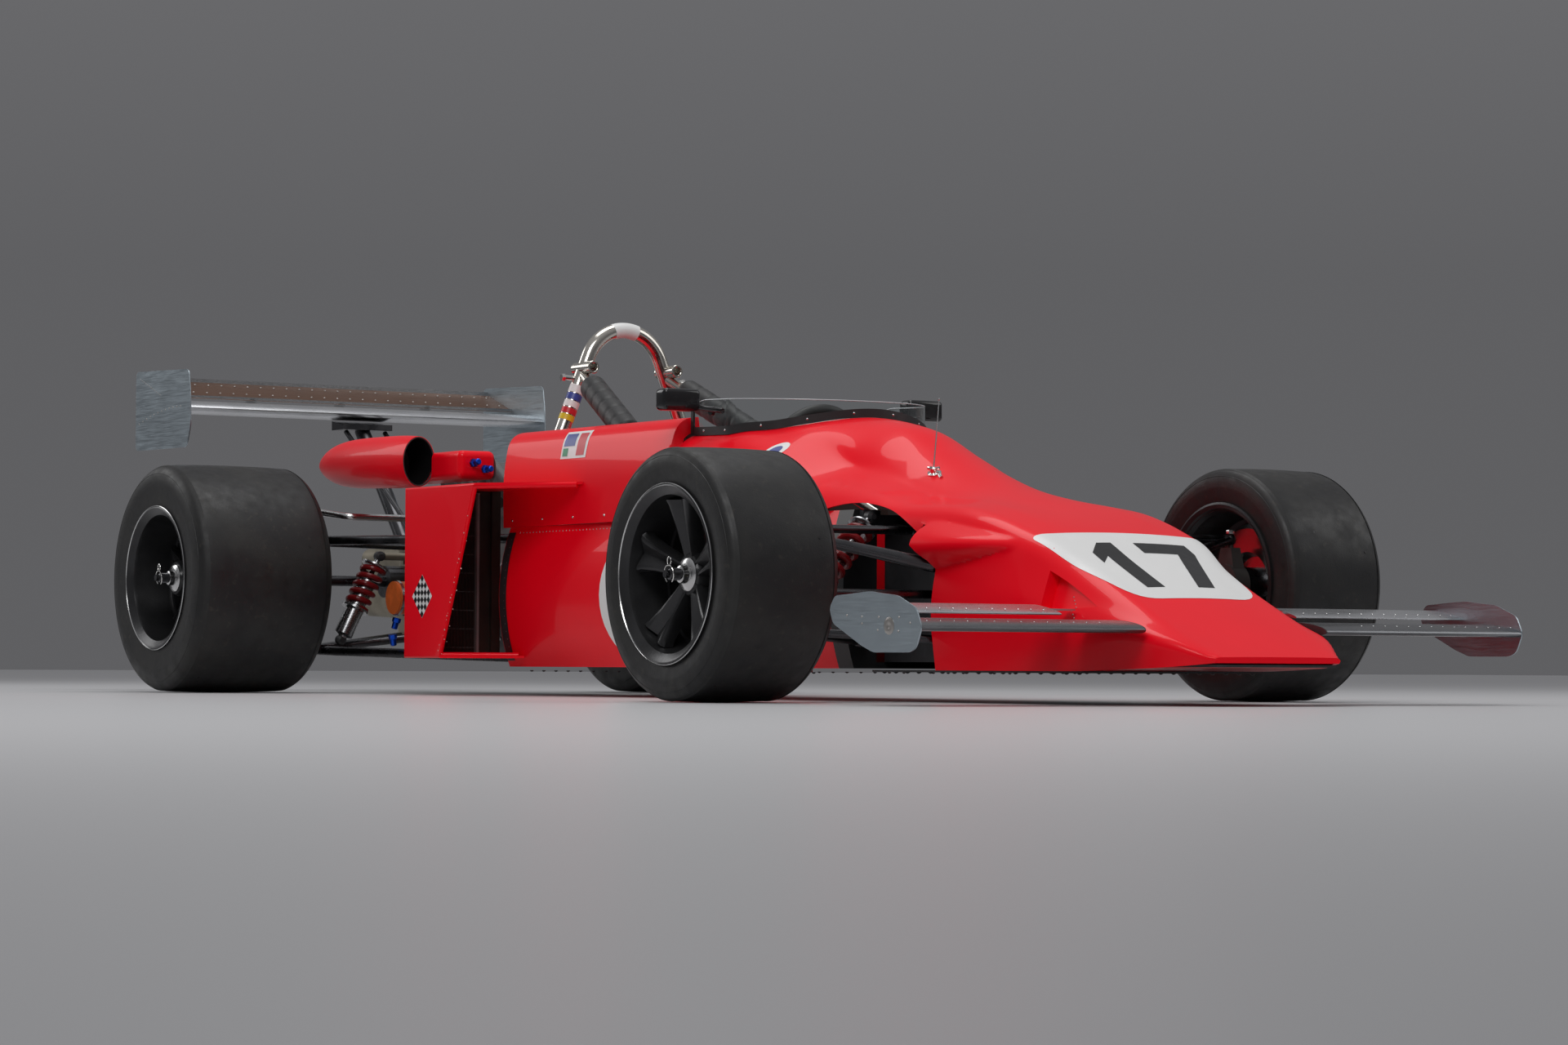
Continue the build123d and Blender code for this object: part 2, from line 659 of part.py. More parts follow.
def mast(outside):
    """Whip aerial on a round base, on the cowl's right."""
    base = rod(point(-100, 121, 440), point(-100, 121, 506), 11)
    whip = rod(point(-100, 121, 504), point(-100, 101, 648), 1.6)
    return join(base, whip) - Pos(0, 0, SLIT) * outside


# ------------------------------------------------------------------ front end
BOX_FRONT = -320
BOX_WALL = 12


def footwell_section(station, half, low, high, inset=0):
    plane = Plane(origin=(0, at(station), (low + high) / 2), x_dir=(1, 0, 0), z_dir=(0, -1, 0))
    return plane * Rectangle(2 * (half - inset), high - low - 2 * inset)


def tub_half_at(station, z):
    """Outer half-width of the tub."""
    share = (station - TUB_FRONT) / (TUB_REAR - TUB_FRONT)
    half = TUB_HALF_FRONT + share * (TUB_HALF_REAR - TUB_HALF_FRONT)
    rise = 0.09 * half
    reach = (TUB_TOP_Z - TUB_FLOOR_Z) / 2
    radius = (rise * rise + reach * reach) / (2 * rise)
    offset = z - (TUB_TOP_Z + TUB_FLOOR_Z) / 2
    return half - radius + sqrt(radius * radius - offset * offset)


UPPER_FRONT_PICKUP = (276, -131, 284)
UPPER_REAR_PICKUP = (226, 12, 360)
LOWER_FRONT_PICKUP = (222, -150, 128)
LOWER_REAR_PICKUP = (280, TUB_FRONT - 14 - SLIT, 128)
SPRING_TOP = (264, 118, 392)
SPRING_BOTTOM = (512, 26, 176)


def front_bulkhead():
    """The footwell ahead of the tub, with the rack's housing and the suspension's brackets."""
    ends = ((BOX_FRONT, 176, 84, 300), (TUB_FRONT - SLIT, 206, 84, 386))
    outer = loft([footwell_section(*row) for row in ends], ruled=True)
    wide = (ends[0][0] + BOX_WALL,) + ends[0][1:]
    long = (ends[1][0] + 2,) + ends[1][1:]
    inner = loft([footwell_section(*wide, BOX_WALL), footwell_section(*long, BOX_WALL)], ruled=True)
    solid = outer - inner
    housing = bar_x(-RACK_HOUSING_HALF - 20, RACK_HOUSING_HALF + 20, RACK_STATION, RACK_Z, RACK_HOUSING_R)
    tower = rod(point(0, RACK_STATION, RACK_Z), point(0, RACK_STATION, RACK_Z + 26), 24)
    cross = block(0, 132, 380, 2 * 250, 24, 34)
    solid = join(solid, housing, tower, cross)
    for _, sign in SIDES:
        x, s, z = UPPER_FRONT_PICKUP
        solid = join(solid, rod(point(sign * 170, s, z), point(sign * (x - 15 - SLIT), s, z), 9))
        x, s, z = UPPER_REAR_PICKUP
        solid = join(solid, rod(point(sign * 180, s, z), point(sign * (x - 12 - SLIT), s, z), 12))
        x, s, z = LOWER_FRONT_PICKUP
        solid = join(solid, rod(point(sign * 170, s, z), point(sign * (x - 12 - SLIT), s, z), 12))
        x, s, z = SPRING_TOP
        solid = join(solid, block(sign * 252, s + 13 + SLIT + 7, z - 8, 44, 14, 44))
    # three pedals hung in the footwell
    for x in (-95, 0, 95):
        solid = join(solid, block(x, BOX_FRONT + 70, 176, 52, 10, 74), block(x, BOX_FRONT + 40, 210, 14, 70, 10))
    solid -= bar_x(-400, 400, RACK_STATION, RACK_Z, RACK_BAR_R + SLIT)
    return solid


def front_wishbones():
    upper_ball = point(KINGPIN_X, 0, FRONT_HUB_Z + BALL_TOP)
    lower_ball = point(KINGPIN_X, 0, FRONT_HUB_Z + BALL_BOTTOM)
    lead = point(*UPPER_FRONT_PICKUP)
    link = point(*UPPER_REAR_PICKUP)
    upper = join(
        ball(upper_ball, BALL_R), rod(upper_ball, lead, 9, 15), ball(lead, 15),
        rod(upper_ball, link, 9), ball(link, 12),
    )
    front = point(*LOWER_FRONT_PICKUP)
    rear = point(*LOWER_REAR_PICKUP)
    lower = join(
        ball(lower_ball, BALL_R), rod(lower_ball, front, 9), ball(front, 12),
        rod(lower_ball, rear, 9), ball(rear, 14),
        block(SPRING_BOTTOM[0] + 12, 4, 147, 40, 52, 12),
    )
    return both_sides(upper) + both_sides(lower)


def coil_over(bottom, top, body_r, spring_r, turns):
    """A damper with its spring drawn as a ribbed sleeve, one rib for each turn."""
    axis = top - bottom
    length = axis.length
    low, high = 0.30 * length, 0.88 * length
    pitch = (high - low) / turns
    outline = [(0, 0), (body_r, 0), (body_r, low), (spring_r + 3, low), (spring_r + 3, low + 4)]
    for turn in range(turns):
        base = low + 4 + turn * pitch
        outline += [(spring_r - 5, base + 0.2 * pitch), (spring_r, base + 0.5 * pitch), (spring_r - 5, base + 0.8 * pitch)]
    outline += [(spring_r + 3, high + 4), (spring_r + 3, high + 8), (10, high + 8), (8, length), (0, length)]
    face = Plane.XZ * make_face(Polyline(*outline, close=True))
    sleeve = revolve(face, Axis.Z)
    plane = Plane(origin=bottom, z_dir=axis.normalized())
    return plane * sleeve


def front_dampers():
    bottom, top = point(*SPRING_BOTTOM), point(*SPRING_TOP)
    unit = join(coil_over(bottom, top, 20, 30, 6), ball(bottom, 13), ball(top, 13))
    return both_sides(unit)


# ------------------------------------------------------------------ wings
# airfoils: leading edge station and z, radius, chord, rise of the trailing edge
FRONT_MAIN = (-783, 147, 16, 165, 18)
FRONT_FLAP = (-606, 178, 5, 88, 20)
REAR_MAIN = (WHEELBASE + 508, 768, 28, 240, 14)
REAR_FLAP = (WHEELBASE + 690, 806, 6, 150, 56)
GURNEY = 10


def airfoil(x0, x1, station, z, nose_r, chord, rise):
    """A wing section with a round leading edge, drawn along X from x0 to x1."""
    trail = (at(station + chord), z + rise)
    centre = at(station + nose_r)
    edge = (
        ThreePointArc((centre, z - nose_r), (at(station), z), (centre, z + nose_r))
        + Polyline((centre, z + nose_r), (trail[0], trail[1] + 2), (trail[0], trail[1] - 2), (centre, z - nose_r))
    )
    plane = Plane(origin=(x0, 0, 0), x_dir=(0, 1, 0), z_dir=(1, 0, 0))
    return extrude(plane * make_face(edge), x1 - x0)


FRONT_ROOTS = ((227, FRONT_MAIN), (298, FRONT_FLAP))    # inner ends, just clear of the nose


def front_wings(outside):
    tip = FRONT_WING_HALF - ENDPLATE_T
    parts = []
    for root, section in FRONT_ROOTS:
        parts.extend(both_sides(airfoil(root, tip, *section) - outside))
    station, z, _, chord, rise = FRONT_FLAP
    bracket = block(FRONT_ROOTS[1][0] - 30, station + chord / 2, z + rise / 2, 90, 26, 5) - outside
    brackets = both_sides(bracket)
    lug = block(tip - 16, -610, 168, 32, 40, 30)
    lugs = both_sides(lug)
    right = [p for p in parts if p.center().X < 0]
    left = [p for p in parts if p.center().X > 0]
    return join(*left, lugs[0], brackets[0]), join(*right, lugs[1], brackets[1])


FRONT_PLATE = (
    (-490, 210), (-609, 217), (-705, 208), (-766, 184), (-784, 148), (-766, 109), (-745, 101),
    (-623, 101), (-583, 114), (-484, 157), (-472, 186),
)
REAR_PLATE = tuple(
    (WHEELBASE + behind, z)
    for behind, z in ((865, 884), (510, 872), (498, 800), (494, 720), (520, 660), (865, 664))
)


def endplates(half, corners, round_r):
    return both_sides(side_plate(half - ENDPLATE_T / 2, corners, ENDPLATE_T, round_r))


def rear_wing():
    tip = REAR_WING_HALF - ENDPLATE_T
    main = airfoil(-tip, tip, *REAR_MAIN)
    flap = airfoil(-tip, tip, *REAR_FLAP)
    station, z, _, chord, rise = REAR_FLAP
    lip = block(0, station + chord - 1, z + rise + GURNEY / 2, 2 * tip, 3, GURNEY)
    ribs = [block(x, station + 15, 792, 6, 60, 44) for x in (-tip / 2, 0, tip / 2)]
    return join(main, flap, lip, *ribs)


MAST_FOOT = WHEELBASE + 300
MAST_TOP = WHEELBASE + 562
STAY_FOOT = WHEELBASE + 120


def wing_post():
    head_z = REAR_MAIN[1] - REAR_MAIN[2]
    foot = point(0, MAST_FOOT, 408)
    top = point(0, MAST_TOP, head_z - 14)
    post = rod(foot, top, 21)
    head = block(0, MAST_TOP, head_z + 3, 150, 76, 34) - Pos(0, 0, -SLIT) * airfoil(-90, 90, *REAR_MAIN)
    base = block(0, MAST_FOOT, 397 + SLIT, 110, 110, 10) + block(0, MAST_FOOT, 412, 50, 50, 30)
    stays = [rod(point(sign * 50, STAY_FOOT, 408), point(sign * 60, MAST_TOP - 22, head_z - 20), 7) for _, sign in SIDES]
    pads = [block(sign * 50, STAY_FOOT, 406, 30, 30, 10) for _, sign in SIDES]
    return join(post, head, base, *stays, *pads)


# ------------------------------------------------------------------ side pods
def side_pod():
    """One pod, left side: top fin, outer panel and bottom tray."""
    top_z = POD_TOP_Z - POD_WALL / 2
    low_z = POD_BOTTOM_Z + POD_WALL / 2
    body_x = 322
    top = top_plate(top_z, (
        (POD_HALF, POD_TOP_FRONT), (POD_HALF, POD_REAR), (286, POD_REAR), (286, BODY_REAR + 6),
        (body_x, BODY_REAR + 6), (body_x, 1250),
    ), POD_WALL)
    outer = side_plate(POD_HALF - POD_WALL / 2, (
        (POD_TOP_FRONT, POD_TOP_Z), (POD_REAR, POD_TOP_Z), (POD_REAR, POD_BOTTOM_Z), (POD_BOTTOM_FRONT, POD_BOTTOM_Z),
    ), POD_WALL)
    inner = tub_half_at(TUB_REAR, POD_BOTTOM_Z + POD_WALL) + SLIT
    low = top_plate(low_z, (
        (POD_HALF, POD_BOTTOM_FRONT), (POD_HALF, POD_REAR), (286, POD_REAR), (286, TUB_REAR + 6),
        (inner, TUB_REAR + 6), (inner, 1520),
    ), POD_WALL)
    flange_x = POD_HALF - POD_FLANGE_R
    corner_top = point(flange_x, POD_TOP_FRONT + POD_FLANGE_R, POD_TOP_Z - POD_FLANGE_R)
    corner_low = point(flange_x, POD_BOTTOM_FRONT + POD_FLANGE_R, POD_BOTTOM_Z + POD_FLANGE_R)
    fin_end = point(body_x + POD_FLANGE_R + 1, 1262, POD_TOP_Z - POD_FLANGE_R)
    tray_end = point(inner + POD_FLANGE_R + 1, 1534, POD_BOTTOM_Z + POD_FLANGE_R)
    lips = [rod(corner_low, corner_top, POD_FLANGE_R), rod(corner_top, fin_end, POD_FLANGE_R),
            rod(corner_low, tray_end, POD_FLANGE_R)]
    lips += [ball(p, POD_FLANGE_R) for p in (corner_top, corner_low)]
    return join(top, outer, low, *lips)


RADIATOR_STATION = 1755
CORE_T = 40


def radiator():
    low = POD_BOTTOM_Z + POD_WALL + SLIT
    high = POD_TOP_Z - POD_WALL - SLIT
    middle = (low + high) / 2
    core = block((300 + 492) / 2, RADIATOR_STATION, middle, 192, CORE_T, high - low)
    tank = block(296, RADIATOR_STATION, middle, 24, CORE_T + 22, high - low)
    far_tank = block(484, RADIATOR_STATION, middle, 18, CORE_T + 14, high - low)
    return join(core, tank, far_tank)


# ------------------------------------------------------------------ engine bay
PORTS = 4
HEAD_HALF = 110
PORT_PITCH = 88
PORT_FIRST = ENGINE_FRONT + 214


def engine():
    length = ENGINE_REAR - ENGINE_FRONT
    middle = (ENGINE_FRONT + ENGINE_REAR) / 2
    crankcase = block(0, middle, 235, 240, length, 250)
    sump = block(0, middle + 10, 106, 190, length - 60, 30)
    head = block(0, middle + 30, 425, 2 * HEAD_HALF, length - 70, 132)
    covers = [rod(point(sign * 66, ENGINE_FRONT + 66, 490), point(sign * 66, ENGINE_REAR - 20, 490), 44) for _, sign in SIDES]
    front_cover = block(0, ENGINE_FRONT + 22, 350, 200, 44, 300)
    pulley = rod(point(0, ENGINE_FRONT - 12, CRANK_Z), point(0, ENGINE_FRONT + 10, CRANK_Z), 62)
    solid = join(crankcase, sump, head, front_cover, pulley, *covers)
    for index in range(PORTS):
        station = PORT_FIRST + index * PORT_PITCH
        solid = join(solid, rod(point(-90, station, 456), point(-210, station, 582), 23))
        solid = join(solid, rod(point(66, station, 500), point(66, station, 542), 12))
    # oil pump, alternator and metering unit on the right flank
    for x, s, z, radius, reach in ((-150, 78, 170, 38, 150), (-150, 298, 200, 34, 120), (-30, 38, 545, 34, 110)):
        start = point(x, ENGINE_FRONT + s - reach / 2, z)
        solid = join(solid, rod(start, start + Vector(0, reach, 0), radius))
    reach = ENGINE_FRONT + 32 - TUB_REAR
    mount = [block(sign * 150, TUB_REAR + reach / 2, 250, 70, reach, 16) for _, sign in SIDES]
    x0, _, s0, s1, z0, z1 = PLENUM
    plenum = block(x0 + SLIT - 100, (s0 + s1) / 2, (z0 + z1) / 2, 200, s1 - s0, z1 - z0 + 60)
    return join(solid, *mount) - plenum


SCOOP_X = -334
# scoop sections: station, half-width, half-height, z
SCOOP = ((2068, 46, 64, 588), (2200, 51, 67, 592), (2400, 49, 64, 596), (2540, 36, 47, 598), (2618, 12, 16, 599))
PLENUM = (-196, -300, 1912, 2240, 540, 612)     # x from, x to, stations, z from, z to


def scoop_section(row, inset=0):
    station, half_w, half_h, z = row
    plane = Plane(origin=(SCOOP_X, at(station), z), x_dir=(1, 0, 0), z_dir=(0, -1, 0))
    return plane * Ellipse(half_w - inset, half_h - inset)


def intake_scoop():
    bullet = loft([scoop_section(row) for row in SCOOP])
    hollow = loft([scoop_section((SCOOP[0][0] - 5,) + SCOOP[0][1:], 4), scoop_section(SCOOP[1], 4), scoop_section(SCOOP[2], 6)])
    x0, x1, s0, s1, z0, z1 = PLENUM
    box = fillet(Box(x0 - x1, s1 - s0, z1 - z0).edges(), 16)
    plenum = Pos((x0 + x1) / 2, at((s0 + s1) / 2), (z0 + z1) / 2) * box
    neck = block(-296, 2190, 580, 60, 90, 50)
    return join(bullet, plenum, neck) - hollow


def exhaust():
    """Four pipes from the left side of the head to one tail pipe."""
    collector = (186, ENGINE_REAR + 60, 514)
    narrow = point(190, ENGINE_REAR + 130, 512)
    tail = point(200, WHEELBASE + 380, 516)
    solid = join(rod(point(*collector), narrow, 36, 30), rod(narrow, tail, 30, 38))
    for index in range(PORTS):
        station = PORT_FIRST + index * PORT_PITCH
        drop = 26 * (index % 2)
        pipe = bent_tube([
            point(HEAD_HALF - 8, station, 448), point(172 + drop / 2, station, 438 - drop),
            point(184, station + 90, 452 - drop / 2), point(*collector) + Vector(0, 8, 0),
        ], 18, 26)
        solid = join(solid, pipe)
    solid -= block(0, (ENGINE_FRONT + ENGINE_REAR) / 2, 425, 2 * (HEAD_HALF + SLIT), 600, 160)
    return solid - rod(tail - Vector(0, 120, 1), tail + Vector(0, 20, 0), 30, 34)


ARB_X = 80                  # bearings of the rear anti-roll bar
ARB_STATION = WHEELBASE - 170
SPRING_STATION = WHEELBASE - 60
REAR_SPRING_TOP = (256, SPRING_STATION, 357)


REAR_JACK = (WHEELBASE + 100, 158)   # station and underside of the gearbox's jacking pad


def gearbox():
    def section(station, half_w, low, high):
        plane = Plane(origin=(0, at(station), (low + high) / 2), x_dir=(1, 0, 0), z_dir=(0, -1, 0))
        return plane * RectangleRounded(2 * half_w, high - low, 30)

    rows = (
        (ENGINE_REAR + SLIT, 150, 112, 470), (ENGINE_REAR + 30, 146, 118, 426), (WHEELBASE - 100, 112, 176, 396),
        (WHEELBASE + 100, 112, 180, 392), (WHEELBASE + 140, 96, 196, 392), (GEARBOX_REAR, 88, 206, 392),
    )
    solid = loft([section(*row) for row in rows], ruled=True)
    flange = bar_x(-148, 148, WHEELBASE, REAR_HUB_Z, 48)
    cover = rod(point(0, GEARBOX_REAR - 4, 300), point(0, GEARBOX_REAR + 14, 300), 64)
    ribs = [block(0, WHEELBASE + s, 290, 232, 8, 222) for s in (-80, 80)]
    lugs = [block(sign * 100, WHEELBASE, z, 60, 150, h) for _, sign in SIDES for z, h in ((170, 66), (385, 26))]
    jack_pad = block(0, REAR_JACK[0], REAR_JACK[1] + 26, 120, 60, 52)
    pads = [block(sign * ARB_X, ARB_STATION, 405, 30, 30, 40) for _, sign in SIDES]
    x, s, z = REAR_SPRING_TOP
    carrier = bar_x(-(x - 13 - SLIT), x - 13 - SLIT, s, z, 10)
    return join(solid, flange, cover, carrier, jack_pad, *ribs, *lugs, *pads)


# ------------------------------------------------------------------ rear suspension
REAR_KING_X = REAR_HALF + REAR_UPRIGHT_U
REAR_TOP_Z = 392
REAR_LOW_X = 462            # lower ball joint, inboard of the rim
REAR_LOW_Z = 108
REAR_WEB_LOW = -112         # lower end of the upright's web, from the hub
REAR_PLATE_Z = 116          # plate on the lower wishbone that holds the damper
REAR_PLATE_T = 16


def rear_uprights():
    body = upright(WHEELBASE, REAR_HUB_Z, REAR_KING_X, REAR_WEB_LOW, REAR_TOP_Z - 14 - REAR_HUB_Z)
    foot = rod(point(REAR_KING_X - 6, WHEELBASE, 198), point(REAR_LOW_X + 2, WHEELBASE, REAR_LOW_Z + 11), 15, 13)
    body = join(body, foot, caliper(WHEELBASE, REAR_HUB_Z, REAR_KING_X, -90 - 22))
    body -= ball(point(REAR_KING_X, WHEELBASE, REAR_TOP_Z), 13 + SLIT)
    return body - ball(point(REAR_LOW_X, WHEELBASE, REAR_LOW_Z), 13 + SLIT)


def rear_links():
    """Radius rods, top link and lower wishbone of each side."""
    x = REAR_KING_X
    top = point(x, WHEELBASE, REAR_TOP_Z)
    low = point(REAR_LOW_X, WHEELBASE, REAR_LOW_Z)
    upper_front = point(190, TUB_REAR + 12 + SLIT, 386)
    lower_front = point(190, TUB_REAR + 12 + SLIT, 90)
    knee = point(x, WHEELBASE - 45, REAR_TOP_Z)
    upper = join(
        ball(top, 13), rod(top, point(120, WHEELBASE, 385), 9),
        rod(knee, upper_front, 12), ball(upper_front, 12), rod(top, knee, 10), ball(knee, 10),
    )
    lower = join(
        ball(low, 13), rod(low, point(120, WHEELBASE - 82, 150), 11),
        rod(low, point(120, WHEELBASE + 62, 150), 11),
        rod(point(430, WHEELBASE - 12, REAR_LOW_Z + 2), lower_front, 12), ball(lower_front, 12),
        block(392, WHEELBASE - 38, REAR_PLATE_Z, 108, 60, REAR_PLATE_T),
    )
    inside = block(0, WHEELBASE, 265, 2 * (130 + SLIT), 400, 300)
    return both_sides(upper - inside) + both_sides(lower - inside)


def rear_antiroll():
    """Bar over the gearbox, with an arm and a drop link on each side."""
    arm_end = (436, WHEELBASE - 54, 470)
    bar = bent_tube([
        point(-arm_end[0], *arm_end[1:]), point(-404, ARB_STATION, 454),
        point(404, ARB_STATION, 454), point(*arm_end),
    ], 9, 30)
    for _, sign in SIDES:
        top = point(sign * arm_end[0], *arm_end[1:])
        low = point(sign * 432, WHEELBASE - 54, REAR_PLATE_Z + REAR_PLATE_T / 2 + 9 + SLIT)
        bar = join(bar, rod(top, low, 6), ball(top, 11), ball(low, 9))
        bar = join(bar, block(sign * ARB_X, ARB_STATION, 440 + SLIT, 24, 24, 30))
    return bar


def rear_dampers():
    bottom = point(366, SPRING_STATION, REAR_PLATE_Z + REAR_PLATE_T / 2 + 13 + SLIT)
    top = point(*REAR_SPRING_TOP)
    unit = join(coil_over(bottom, top, 22, 34, 6), ball(bottom, 13), ball(top, 13))
    return both_sides(unit)


def driveshafts():
    """Shaft with a joint at each end, left side."""
    start = 148 + SLIT
    end = REAR_KING_X - 26 - SLIT
    shaft = bar_x(start, end, WHEELBASE, REAR_HUB_Z, 14)
    inner = bar_x(start, start + 64, WHEELBASE, REAR_HUB_Z, 42)
    outer = bar_x(end - 58, end, WHEELBASE, REAR_HUB_Z, 38)
    return both_sides(join(shaft, inner, outer))


def oil_system():
    can = rod(point(-372, 2130, 243), point(-262, 2130, 243), 42)
    head = rod(point(-262, 2130, 243), point(-120 - SLIT, 2130, 243), 26)
    return join(can, head)


def engine_hoses():
    hoses = []
    for x, z, lift in ((-264, 352, 546), (-242, 352, 574)):
        hoses.append(bent_tube([
            point(x, TUB_REAR + SLIT, z), point(x, 1650, z), point(x + 12, 1690, lift),
            point(x + 66, ENGINE_FRONT + 18, lift + 6), point(-150, ENGINE_FRONT + 128, lift - 20),
        ], 7, 22))
    return hoses


def main():
    outside = body_outside()
    wheels()
    steering_knuckles()
    rack()
    column()
    write("tub", tub())
    write("bodywork", bodywork(outside))
    screen, trim = windscreen(outside)
    write("windscreen", screen)
    write("windscreen_trim", trim)
    write("roll_hoop", roll_hoop())
    write("brace_pads", *brace_pads())
    write("dash_panel", dash_panel())
    write("seat", seat())
    write("mirrors", *mirrors())
    write("mast", mast(outside))
    write("front_bulkhead", front_bulkhead())
    write("front_wishbones", *front_wishbones())
    write("front_dampers", *front_dampers())
    write("front_wings", *front_wings(outside))
    write("front_endplates", *endplates(FRONT_WING_HALF, FRONT_PLATE, 8))
    write("rear_wing", rear_wing())
    write("rear_endplates", *endplates(REAR_WING_HALF, REAR_PLATE, 12))
    write("wing_post", wing_post())
    write("radiator_pods", *both_sides(side_pod()))
    write("radiators", *both_sides(radiator()))
    write("engine", engine())
    write("intake_scoop", intake_scoop())
    write("exhaust", exhaust())
    write("gearbox", gearbox())
    write("rear_uprights", *both_sides(rear_uprights()))
    write("rear_links", *rear_links())
    write("rear_antiroll_bar", rear_antiroll())
    write("rear_dampers", *rear_dampers())
    for (side, _), shaft in zip(SIDES, driveshafts()):
        write(f"driveshaft_{side}", shaft)
    write("oil_system", oil_system())
    write("engine_hoses", *engine_hoses())


if __name__ == "__main__":
    main()
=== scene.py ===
"""Looks of the open wheel racing car: materials, smooth body, tyres and fine detail around the CAD frame.

Metres throughout. A station is a distance behind the front axle, and x grows towards the car's left."""
from math import atan2, cos, pi, radians, sin, sqrt, tan

import bmesh
import bpy
from mathutils import Matrix, Vector
from mathutils.bvhtree import BVHTree


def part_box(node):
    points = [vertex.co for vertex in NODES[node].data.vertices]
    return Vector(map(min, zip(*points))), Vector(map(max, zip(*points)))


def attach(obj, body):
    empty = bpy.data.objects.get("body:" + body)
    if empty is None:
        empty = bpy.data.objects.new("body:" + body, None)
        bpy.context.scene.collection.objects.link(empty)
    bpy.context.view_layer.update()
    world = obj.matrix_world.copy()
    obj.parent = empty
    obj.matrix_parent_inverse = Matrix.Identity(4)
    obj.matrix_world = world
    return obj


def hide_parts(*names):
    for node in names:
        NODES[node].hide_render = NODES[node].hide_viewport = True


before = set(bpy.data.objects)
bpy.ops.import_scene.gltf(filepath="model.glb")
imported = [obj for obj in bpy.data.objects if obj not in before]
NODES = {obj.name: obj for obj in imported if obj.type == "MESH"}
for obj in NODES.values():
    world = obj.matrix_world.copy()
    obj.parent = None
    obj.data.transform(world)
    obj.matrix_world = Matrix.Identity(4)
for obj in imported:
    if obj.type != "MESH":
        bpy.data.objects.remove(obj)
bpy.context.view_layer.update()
SIDES = (("left", 1), ("right", -1))
SIGNS = (1, -1)
X, Y, Z = Vector((1, 0, 0)), Vector((0, 1, 0)), Vector((0, 0, 1))
SQUARE = ((0, 0), (1, 0), (1, 1), (0, 1))


# ------------------------------------------------------------------ places from the frame
def middle(node):
    low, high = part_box(node)
    return (low + high) / 2


HUBS = (("front", middle("tyre_front_left")), ("rear", middle("tyre_rear_left")))
FRONT_AXLE = HUBS[0][1].y
WHEELBASE = HUBS[1][1].y - FRONT_AXLE


def at(x, station, z):
    return Vector((x, FRONT_AXLE + station, z))


# ------------------------------------------------------------------ materials
def srgb(r, g, b):
    return tuple(((c / 255 + 0.055) / 1.055) ** 2.4 if c > 10 else c / 255 / 12.92 for c in (r, g, b))


def scaled(colour, factor):
    return tuple(c * factor for c in colour)


class Material:
    """A principled material with noise for colour, roughness and bump."""

    def __init__(self, name, colour, rough, metal=0.0, **sockets):
        self.material = bpy.data.materials.new(name)
        self.material.use_nodes = True
        self.tree = self.material.node_tree
        self.shader = self.tree.nodes["Principled BSDF"]
        self.colour = (*colour, 1.0)
        self.height = None
        sockets.update(Base_Color=self.colour, Roughness=rough, Metallic=metal)
        for socket, value in sockets.items():
            self.shader.inputs[socket.replace("_", " ")].default_value = value
        self.place = self.node("ShaderNodeTexCoord").outputs["Object"]

    def node(self, kind, **inputs):
        node = self.tree.nodes.new(kind)
        for name, value in inputs.items():
            socket = node.inputs[name.replace("_", " ")]
            if hasattr(value, "is_output"):
                self.link(value, socket)
            else:
                socket.default_value = value
        return node

    def link(self, out, into):
        self.tree.links.new(out, into)

    def noise(self, scale, detail=3.0, stretch=None):
        place = self.place
        if stretch:
            place = self.node("ShaderNodeMapping", Vector=place, Scale=stretch).outputs["Vector"]
        return self.node("ShaderNodeTexNoise", Vector=place, Scale=scale, Detail=detail).outputs["Fac"]

    def ramp(self, value, low, high, start=0.0, end=1.0):
        limits = {"From_Min": low, "From_Max": high, "To_Min": start, "To_Max": end}
        return self.node("ShaderNodeMapRange", Value=value, **limits).outputs["Result"]

    def mix_in(self, other, share):
        """Mixes another colour into the base colour by a share that varies over the surface."""
        mix = self.tree.nodes.new("ShaderNodeMix")
        mix.data_type = "RGBA"
        self.link(share, mix.inputs["Factor"])
        base = self.shader.inputs["Base Color"]
        if base.is_linked:
            self.link(base.links[0].from_socket, mix.inputs["A"])
        else:
            mix.inputs["A"].default_value = self.colour
        mix.inputs["B"].default_value = (*other, 1.0)
        self.link(mix.outputs["Result"], base)
        return self

    def blotches(self, other, scale, detail, low, high, most=1.0):
        return self.mix_in(other, self.ramp(self.noise(scale, detail), low, high, 0.0, most))

    def roughen(self, value, low, high):
        self.link(self.ramp(value, 0.3, 0.7, low, high), self.shader.inputs["Roughness"])
        return self

    def bump(self, value, strength, distance=0.001):
        node = self.node("ShaderNodeBump", Height=value, Strength=strength, Distance=distance)
        if self.height:
            self.link(self.height, node.inputs["Normal"])
        self.height = node.outputs["Normal"]
        self.link(self.height, self.shader.inputs["Normal"])
        return self

    def grain(self, scale, detail, strength, distance=0.001):
        return self.bump(self.noise(scale, detail), strength, distance)


def enamel(name, colour, shade):
    made = Material(name, colour, 0.36, Coat_Weight=0.22, Coat_Roughness=0.04, Specular_IOR_Level=0.12)
    return made.blotches(shade, 3.0, 3.0, 0.35, 0.75, 0.35)


def paint(name, colour, shade):
    return enamel(name, colour, shade).grain(260.0, 3.0, 0.04)


def tub_paint():
    """Scarlet, with the front end of the tub left satin black."""
    made = enamel("scarlet_tub", RED, RED_SHADE)
    along = made.node("ShaderNodeSeparateXYZ", Vector=made.place).outputs["Y"]
    edge = FRONT_AXLE + TUB_BLACK_TO
    return made.mix_in((0.016, 0.016, 0.017), made.ramp(along, edge + 0.0005, edge - 0.0005))


